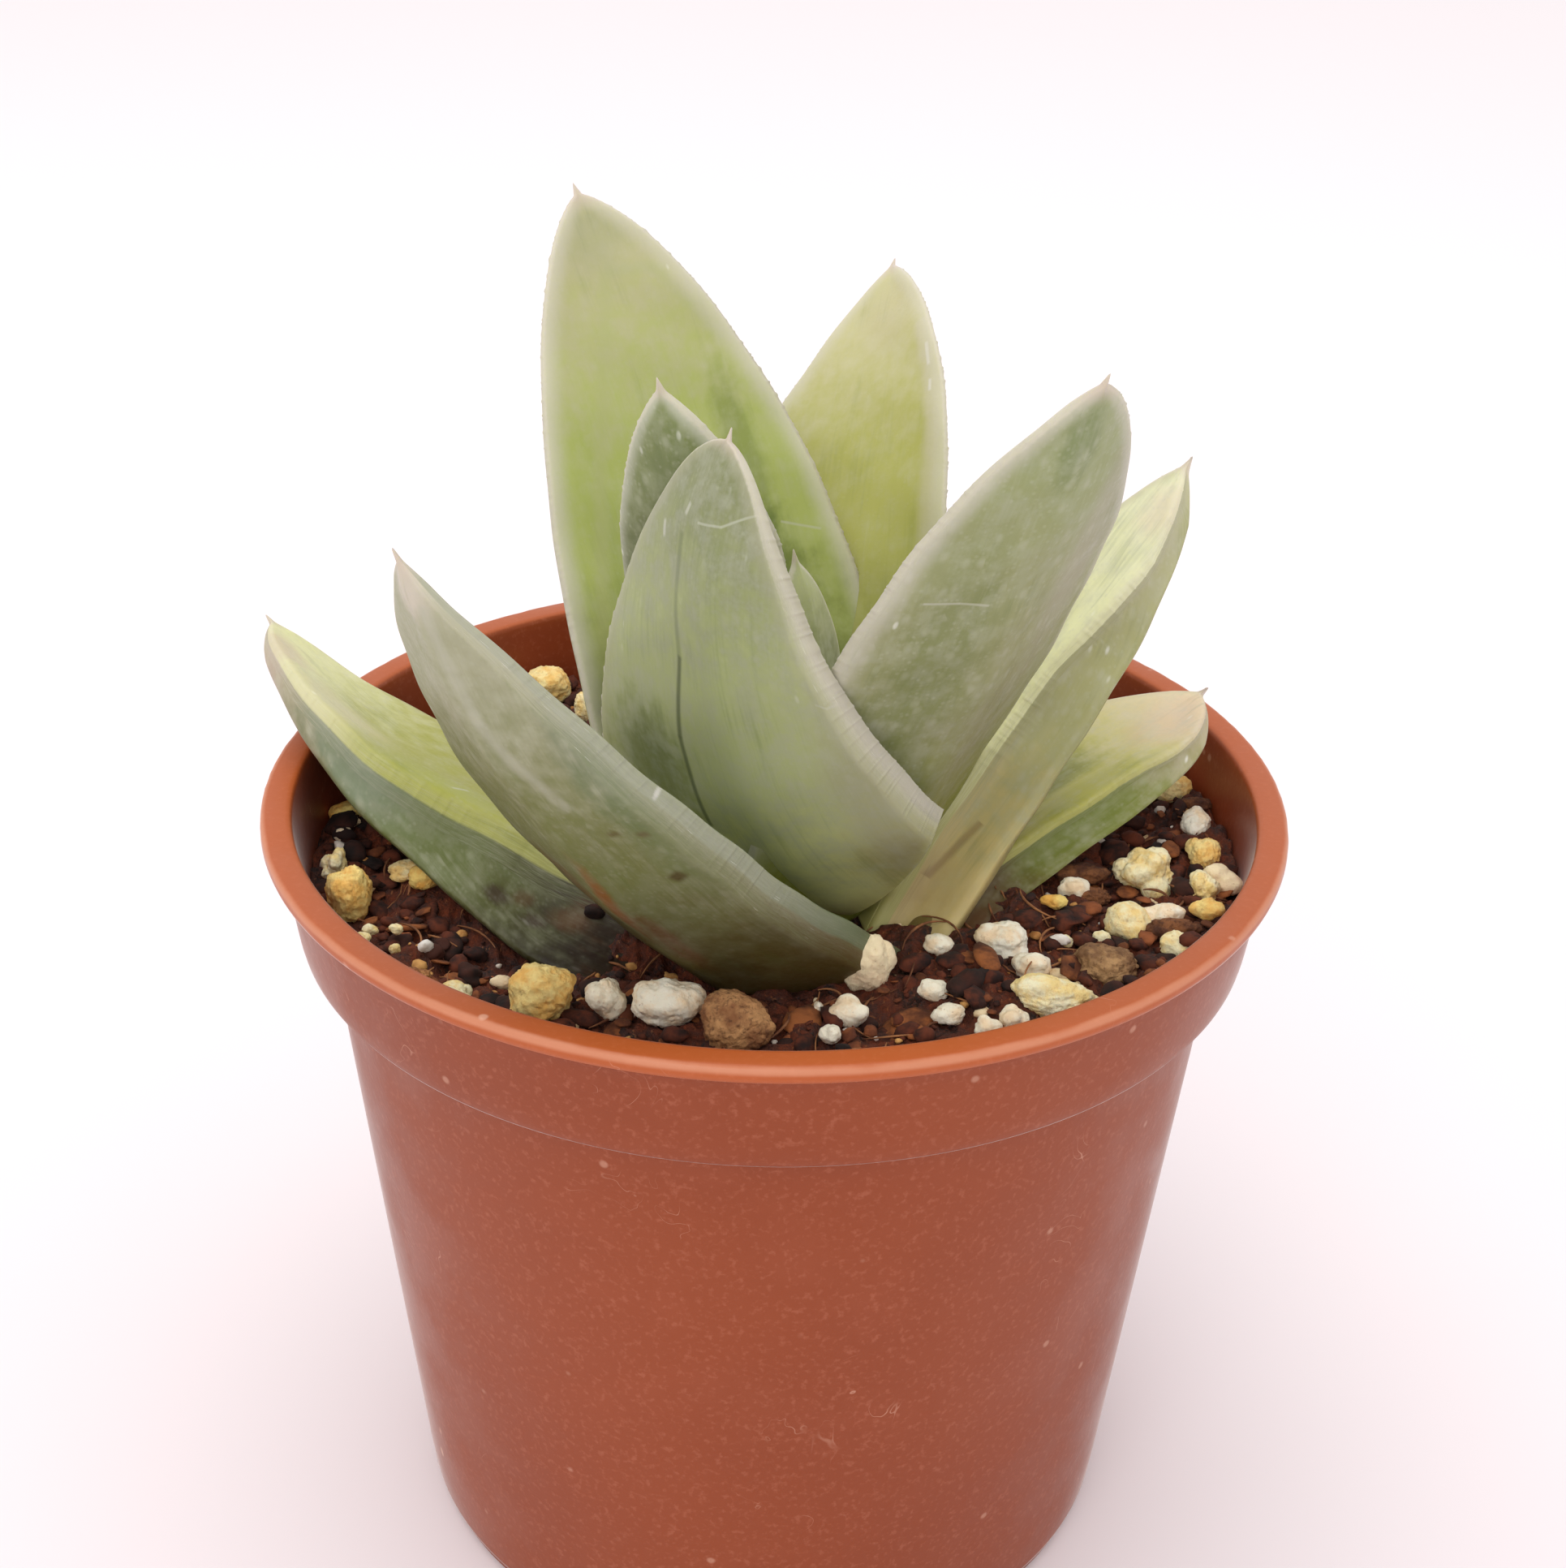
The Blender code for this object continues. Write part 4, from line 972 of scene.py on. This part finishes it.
def lumps(kind, seed, knobbly):
    # Centres and radii of the balls that a grain is grown from, in units of its half size.
    dice = random.Random(seed)
    count = 14 if knobbly else LUMPS_BY_KIND[kind]
    far = (0.42, 0.66) if knobbly else (0.32, 0.56)
    girth = (0.24, 0.42) if knobbly else (0.32, 0.54)
    made = [(Vector((0, 0, 0)), 0.64 if knobbly else 0.7)]
    for _ in range(count):
        way = Vector((dice.gauss(0, 1), dice.gauss(0, 1), dice.gauss(0, 1))).normalized()
        made.append((way * dice.uniform(*far), dice.uniform(*girth)))
    return made


def grain_radius(unit, balls, blend):
    # Where a ray from the middle leaves the joined balls, with the seams softened.
    reach = []
    for centre, radius in balls:
        forward = unit.dot(centre)
        inside = radius * radius - centre.length_squared + forward * forward
        if inside > 0:
            reach.append(forward + math.sqrt(inside))
    most = max(reach)
    return most + blend * math.log(sum(math.exp((r - most) / blend) for r in reach))


def grain_points(units, x, y, size, sink, kind, seed, knobbly=False):
    # sink is the share of the grain's height that lies below the heap.
    centre = np.array(Vector((x, y, soil_height(x, y) + size[2] * (0.5 - sink))))
    balls = lumps(kind, seed, knobbly)
    shift = Vector((seed * 1.7, 0.4, 0.9))
    radii = []
    for unit in units:
        way = Vector(unit)
        radius = grain_radius(way, balls, 0.025)
        radius += 0.10 * noise.noise(way * 1.6 + shift)
        radius += ROUGH_BY_KIND[kind] * noise.fractal(way * 5.0 + shift, 0.8, 2.2, 4)
        radii.append(radius)
    radii = np.array(radii)
    radii = radii / np.percentile(radii, 90)
    return units * radii[:, None] * (np.array(size) / 2)[None, :] + centre[None, :]


def build_grain(grain):
    units, faces = BALLS[5]
    kind = grain.name.split("_")[0]
    # Cream pumice that isn't large is knobbly.
    knobbly = kind == "pumice" and grain.tone < 0.3 and max(grain.size) < 6
    points = grain_points(units, *grain.at, grain.size, grain.sink, kind, grain.seed, knobbly)
    obj = mesh_piece(grain.name + "_look", points, faces, grit_material(kind, grain.tone, grain.seed))
    settle(obj, [grain.name])


def build_small_grit():
    dice = random.Random(77)
    units, faces = BALLS[4]
    for number, (x, y, size, (kind, tone)) in enumerate(SMALL_GRIT):
        seed = 101 + number
        sides = [size * dice.uniform(low, high) for low, high in ((0.8, 1.15), (0.75, 1), (0.65, 0.9))]
        if kind == "bark":
            sides[1] *= 0.6
            sides[2] *= 0.6
        points = grain_points(units, x, y, sides, 0.3, kind, seed)
        obj = mesh_piece("small_grit_%02d" % (number + 1), points, faces, grit_material(kind, tone, seed))
        settle(obj, [])


def leaf_feet():
    # The points of the leaves that are down near the mix.
    found = []
    for leaf in LEAVES:
        mesh = bpy.data.objects[leaf.name + "_look"].data
        points = np.empty(len(mesh.vertices) * 3, np.float32)
        mesh.vertices.foreach_get("co", points)
        points = points.reshape(-1, 3) / MM
        found.append(points[points[:, 2] < 67.5][::2])
    return np.vstack(found)


def clear_of_leaves(feet, x, y, z, size):
    away = (feet[:, 0] - x) ** 2 + (feet[:, 1] - y) ** 2 + (feet[:, 2] - z) ** 2
    return away.min() > (size * 0.55 + 0.7) ** 2


def random_spot(dice, reach):
    # A place on the mix, evenly spread up to the reach from the pot's axis.
    radius = reach * math.sqrt(dice.random())
    return polar(radius, dice.uniform(0, 2 * math.pi))


def on_a_grain(x, y):
    return any(math.hypot(x - g.at[0], y - g.at[1]) < max(g.size[:2]) * 0.42 for g in GRIT)


def crumb_spot(crumb, dice, feet):
    # Place and size of a crumb, or None where it would lie on a grain, the stem or a leaf.
    x, y = random_spot(dice, CRUMB_REACH)
    size = crumb.low + (crumb.high - crumb.low) * dice.random() ** 2.2
    if on_a_grain(x, y):
        return None
    z = mix_surface(x, y) + size * dice.uniform(0, 0.35)
    if math.hypot(x - STEM_X, y - STEM_Y) < STEM_CLEARANCE or not clear_of_leaves(feet, x, y, z, size):
        return None
    return x, y, z, size


def crumb_points(crumb, number, dice, spot):
    # A ball that is dented, stretched, turned and put in its place.
    units = BALLS[crumb.fineness][0]
    x, y, z, size = spot
    turned = Matrix.Rotation(dice.uniform(0, 6.28), 3, "Z") @ Matrix.Rotation(dice.uniform(-0.6, 0.6), 3, "X")
    stretch = [dice.uniform(0.7, 1.5), dice.uniform(0.6, 1.1), dice.uniform(0.5, 0.9) * crumb.flat]
    jitter = np.random.default_rng(crumb.seed * 7919 + number).normal(0, 0.5, (3, 3))
    dents = np.sin(units @ jitter * 6.0 + number).sum(1) * 0.10
    body = units * (1 + dents)[:, None] * np.array(stretch)[None, :] * size / 2
    return body @ np.array(turned).T + np.array([x, y, z])


def scatter(crumb, feet):
    # Many small crumbs in one piece, spread over the mix.
    dice = random.Random(crumb.seed)
    faces = BALLS[crumb.fineness][1]
    points = []
    joined = []
    made = 0
    for _ in range(crumb.count * 20):
        spot = crumb_spot(crumb, dice, feet)
        if spot is None:
            continue
        start = len(points)
        points.extend(crumb_points(crumb, made, dice, spot).tolist())
        joined.extend([tuple(i + start for i in face) for face in faces])
        made += 1
        if made == crumb.count:
            break
    look = plain_material(crumb.look, crumb.dark, crumb.light, crumb.scale)
    settle(mesh_piece(crumb.name, points, joined, look), [])


def plain_material(name, dark, light, scale):
    g = Graph(name)
    place = g.place()
    tone = g.noise(place, scale, 3)
    patch = g.noise(place, scale * 0.2, 2)
    share = g.ramp(g.add(g.mul(tone, 0.5), g.mul(patch, 0.5)), 0.38, 0.62)
    g.colour = g.blend(share, dark, light)
    return g.surface(0.9, tone, 0.6, 0.0002, {})


def fibre_rings(dice):
    # The rings of points round one bent fibre that creeps over the mix.
    x, y = random_spot(dice, FIBRE.reach)
    length = dice.uniform(FIBRE.shortest, FIBRE.longest)
    heading = dice.uniform(0, 2 * math.pi)
    bend = dice.uniform(-1.6, 1.6)
    climb = dice.uniform(0, 0.35)
    girth = FIBRE.thick * dice.uniform(0.6, 1.3)
    spot = Vector((x, y, mix_surface(x, y) + 0.15))
    points = []
    for k in range(FIBRE.rings):
        share = k / (FIBRE.rings - 1)
        angle = heading + bend * share
        way = Vector((math.cos(angle), math.sin(angle), climb * math.cos(2.6 * share)))
        if k:
            spot = spot + way.normalized() * (length / (FIBRE.rings - 1))
            # Near the wall the fibre turns inwards.
            if math.hypot(spot.x, spot.y) > 38.2:
                spot.x *= 0.97
                spot.y *= 0.97
            spot.z = max(spot.z, mix_surface(spot.x, spot.y) + girth)
        side = way.cross(Vector((0, 0, 1))).normalized()
        other = side.cross(way).normalized()
        taper = girth * (0.35 + 0.65 * math.sin(math.pi * min(0.98, share + 0.02)))
        for i in range(FIBRE.sides):
            turn = 2 * math.pi * i / FIBRE.sides
            points.append(tuple(spot + side * math.cos(turn) * taper + other * math.sin(turn) * taper))
    return points


def build_fibres():
    dice = random.Random(FIBRE.seed)
    sides = FIBRE.sides
    points = []
    faces = []
    for _ in range(FIBRE.count):
        start = len(points)
        points += fibre_rings(dice)
        last = len(points) - sides
        for ring in range(start, last, sides):
            faces += band_faces(ring, sides, ring + sides)
        faces.append(tuple(range(start, start + sides)))
        faces.append(tuple(reversed(range(last, last + sides))))
    look = plain_material("fibre_look", (96, 54, 32), (172, 116, 72), 600)
    settle(mesh_piece("mix_fibres", points, faces, look), [])


def paint_rim(g, cloud):
    x, y, z = g.parts(g.place())
    radius = g.math("SQRT", g.add(g.mul(x, x), g.mul(y, y)))
    # Inside the lip the wall is painted darker and redder, painted shade inside the pot's mouth.
    inside = g.mul(g.ramp(radius, 0.0397, 0.0401, 1, 0), g.ramp(z, 0.06, 0.0605))
    g.paint(g.mul(inside, 0.35), (128, 56, 36))
    # Orange tint on the lip, and a painted highlight, an uneven pale line along its outer edge.
    lip = g.mul(g.ramp(z, 0.0668, 0.0676), g.ramp(radius, 0.0398, 0.0402))
    g.paint(g.mul(lip, 0.6), (196, 99, 46))
    uneven = g.add(radius, g.swing(cloud, 0.0006))
    lip_edge = g.mul(g.ramp(uneven, 0.042, 0.0424), g.ramp(z, 0.0682, 0.0686))
    g.paint(g.mul(lip_edge, 0.35), (232, 176, 144))


def paint_dust(g, place):
    # Pale specks, a few dark ones, and short hair scratches.
    dust = g.speckles(place, 260, 0.05, 0.12, 0.3)
    grit = g.speckles(g.scaled(place, 1, 1, 0.7), 150, 0.035, 0.07, 0.5)
    pale = g.math("MAXIMUM", g.mul(dust, 0.45), g.mul(grit, 0.8))
    g.paint(g.mul(pale, 0.7), (226, 176, 150))
    dark = g.speckles(g.scaled(place, 1, 1, 0.8), 75, 0.018, 0.035, 0.3)
    g.paint(g.mul(dark, 0.8), (84, 32, 20))
    swirl = g.noise(place, 150, 2, 0.5, 1.6)
    hair = g.ramp(g.math("ABSOLUTE", g.sub(swirl, 0.5)), 0, 0.0045, 1, 0)
    some = g.ramp(g.noise(place, 95, 2), 0.6, 0.68)
    g.paint(g.mul(g.mul(hair, some), 0.45), (222, 168, 142))


def pot_material():
    g = Graph("pot_look")
    place = g.place()
    broad = g.noise(place, 28, 3)
    cloud = g.noise(place, 110, 4, 0.6)
    fine = g.noise(place, 1900, 3)
    g.colour = g.blend(g.ramp(broad, 0.35, 0.65), (141, 61, 20), (135, 57, 18))
    g.paint(g.ramp(cloud, 0.45, 0.7, 0, 0.08), (182, 104, 78))
    g.paint(g.ramp(fine, 0.5, 0.75, 0, 0.22), (196, 120, 92))
    paint_rim(g, cloud)
    paint_dust(g, place)
    rough = g.ramp(cloud, 0.35, 0.7, 0.36, 0.5)
    relief = g.add(g.mul(fine, 0.5), g.mul(cloud, 0.4))
    more = {"IOR": 1.4, "Sheen Weight": 0.55, "Sheen Roughness": 0.17}
    return g.surface(rough, relief, 0.25, 0.0001, more)


def pot_profile():
    # Radius and height, from the middle of the underside outwards and up, and back down inside.
    step = STEP_HEIGHT
    top = POT_HEIGHT
    # Foot ring and body.
    line = [(0, 2), (27.8, 2), (28.2, 0.2), (28.4, 0), (30.6, 0), (31, 0.15), (31.2, 0.5)]
    line += [(31.22, 1), (31.3, 1.25), (31.62, 1.5), (31.72, 1.9)]
    for share in np.linspace(0.06, 0.97, 14):
        line.append((31.7 + (37.7 - 31.7) * share, 1.4 + (step - 1.4) * share))
    # The step out to the band below the rim.
    line += [(37.62, step - 1.1), (37.75, step - 0.55), (38.1, step - 0.22), (38.7, step - 0.12)]
    line += [(39.45, step - 0.1), (39.8, step + 0.02), (39.98, step + 0.28), (40.05, step + 0.7)]
    for share in np.linspace(0.12, 0.95, 7):
        line.append((40.0 + 1.2 * share, step + 8.7 * share))
    # The lip.
    line += [(41.25, top - 1.75), (41.45, top - 1.62), (42.1, top - 1.5), (42.38, top - 1.3)]
    line += [(42.5, top - 0.95), (42.5, top - 0.55), (42.42, top - 0.22), (42.25, top - 0.05), (41.95, top)]
    line += [(41.2, top - 0.03), (40.5, top - 0.02), (40.15, top - 0.08), (39.98, top - 0.25)]
    # The inside.
    line += [(39.9, top - 0.6), (39.6, top - 3), (39.3, top - 6), (38.95, step + 0.9)]
    line += [(38.6, step + 0.2), (36.6, step - 0.9), (33, 30), (30.4, 6), (28.7, 3.5), (0, 3.5)]
    return line


def pot_points(profile):
    # The profile turned round the axis, with the top of the lip slightly ragged.
    dice = np.random.default_rng(5)
    rag = np.convolve(dice.normal(0, 1, POT_SIDES + 4), [0.25, 0.5, 0.25], "same")[:POT_SIDES]
    points = []
    for radius, height in profile[1:-1]:
        lip_edge = 1.0 if radius > 42.2 and height > POT_HEIGHT - 0.7 else 0.0
        for i in range(POT_SIDES):
            r = radius - 0.04 * lip_edge * abs(rag[i])
            z = height - 0.03 * lip_edge * abs(rag[(i * 7) % POT_SIDES])
            points.append((*polar(r, 2 * math.pi * i / POT_SIDES), z))
    return points + [(0, 0, profile[0][1]), (0, 0, profile[-1][1])]


def build_pot():
    profile = pot_profile()
    rows = len(profile) - 2
    faces = grid_faces(rows, POT_SIDES)
    # The underside and the floor inside close on a point each.
    below = rows * POT_SIDES
    last_ring = (rows - 1) * POT_SIDES
    for a, b in ring_pairs(POT_SIDES):
        faces.append((below, b, a))
        faces.append((below + 1, last_ring + a, last_ring + b))
    obj = mesh_piece("pot_look", pot_points(profile), faces, pot_material())
    right_way_out(obj)
    cut_drain_holes(obj)
    settle(obj, ["pot"])


def drain_cutter():
    # Seven round bars through the pot's floor, one in the middle and six round it.
    shell = bmesh.new()
    spots = [(0, 0)] + [polar(19, math.pi * k / 3) for k in range(6)]
    for x, y in spots:
        place = Matrix.Translation((x * MM, y * MM, 2.75 * MM))
        bmesh.ops.create_cone(
            shell, cap_ends=True, segments=40, radius1=3.2 * MM, radius2=3.2 * MM, depth=6 * MM, matrix=place)
    mesh = bpy.data.meshes.new("drain_cutter")
    shell.to_mesh(mesh)
    shell.free()
    return add_object("drain_cutter", mesh)


def cut_drain_holes(pot):
    cutter = drain_cutter()
    cut = pot.modifiers.new("drain_holes", "BOOLEAN")
    cut.operation = "DIFFERENCE"
    cut.object = cutter
    graph = bpy.context.evaluated_depsgraph_get()
    made = bpy.data.meshes.new_from_object(pot.evaluated_get(graph))
    pot.modifiers.clear()
    pot.data = made
    bpy.data.objects.remove(cutter, do_unlink=True)


def build_floor():
    g = Graph("backdrop")
    x, y, _ = g.parts(g.place())
    # The floor is painted light and shade: darker in front of the pot and under it, a little paler behind it
    # and to the sides.
    far = g.ramp(g.add(y, g.mul(g.math("ABSOLUTE", x), 0.3)), -0.15, 0.35)
    pale = g.mix(far, (0.865, 0.81, 0.835, 1), (0.965, 0.9, 0.915, 1))
    g.fill(g.shader, {"Base Color": pale, "Roughness": 0.9, "Specular IOR Level": 0.1})
    bpy.ops.mesh.primitive_plane_add(size=8, location=(0, 0, -0.00005))
    floor = bpy.context.object
    floor.name = "floor"
    floor.data.materials.append(g.material)


def area_light(name, spot, target, size, power, colour):
    lamp = bpy.data.lights.new(name, "AREA")
    lamp.shape = "DISK"
    lamp.size = size
    lamp.energy = power
    lamp.color = colour
    obj = add_object(name, lamp)
    obj.location = spot
    obj.rotation_mode = "QUATERNION"
    obj.rotation_quaternion = (Vector(target) - Vector(spot)).to_track_quat("-Z", "Y")


def build_studio():
    world = bpy.data.worlds.new("studio")
    bpy.context.scene.world = world
    world.use_nodes = True
    back = world.node_tree.nodes["Background"]
    back.inputs["Color"].default_value = (1, 0.985, 0.99, 1)
    back.inputs["Strength"].default_value = 0.96
    area_light("top_light", (-0.1, 0.05, 0.75), (0, 0, 0.05), 0.7, 1.5, (1, 0.985, 0.97))
    area_light("front_fill", (-0.14, -0.65, 0.45), (0, 0, 0.06), 0.6, 1.4, (1, 0.98, 0.96))
    build_floor()


def build_camera():
    focal_pixels = 3000
    frame_pixels = 1932
    data = bpy.data.cameras.new("camera")
    data.sensor_width = 36.0
    data.lens = 36.0 * focal_pixels / frame_pixels
    data.clip_start = 0.01
    data.clip_end = 20.0
    camera = add_object("camera", data)
    turn = Matrix(((0.9998, -0.01982, -0.00308), (0.00648, 0.46463, -0.88548), (0.01898, 0.88529, 0.46466)))
    camera.matrix_world = Matrix.Translation((0, -0.181, 0.16372)) @ turn.to_4x4()
    bpy.context.scene.camera = camera


def main():
    bpy.context.scene.view_settings.view_transform = "Standard"
    build_pot()
    build_soil()
    for number, leaf in enumerate(LEAVES):
        build_leaf(leaf, 3 + number)
    for grain in GRIT:
        build_grain(grain)
    build_small_grit()
    feet = leaf_feet()
    for crumb in CRUMBS:
        scatter(crumb, feet)
    build_fibres()
    build_studio()
    build_camera()


main()
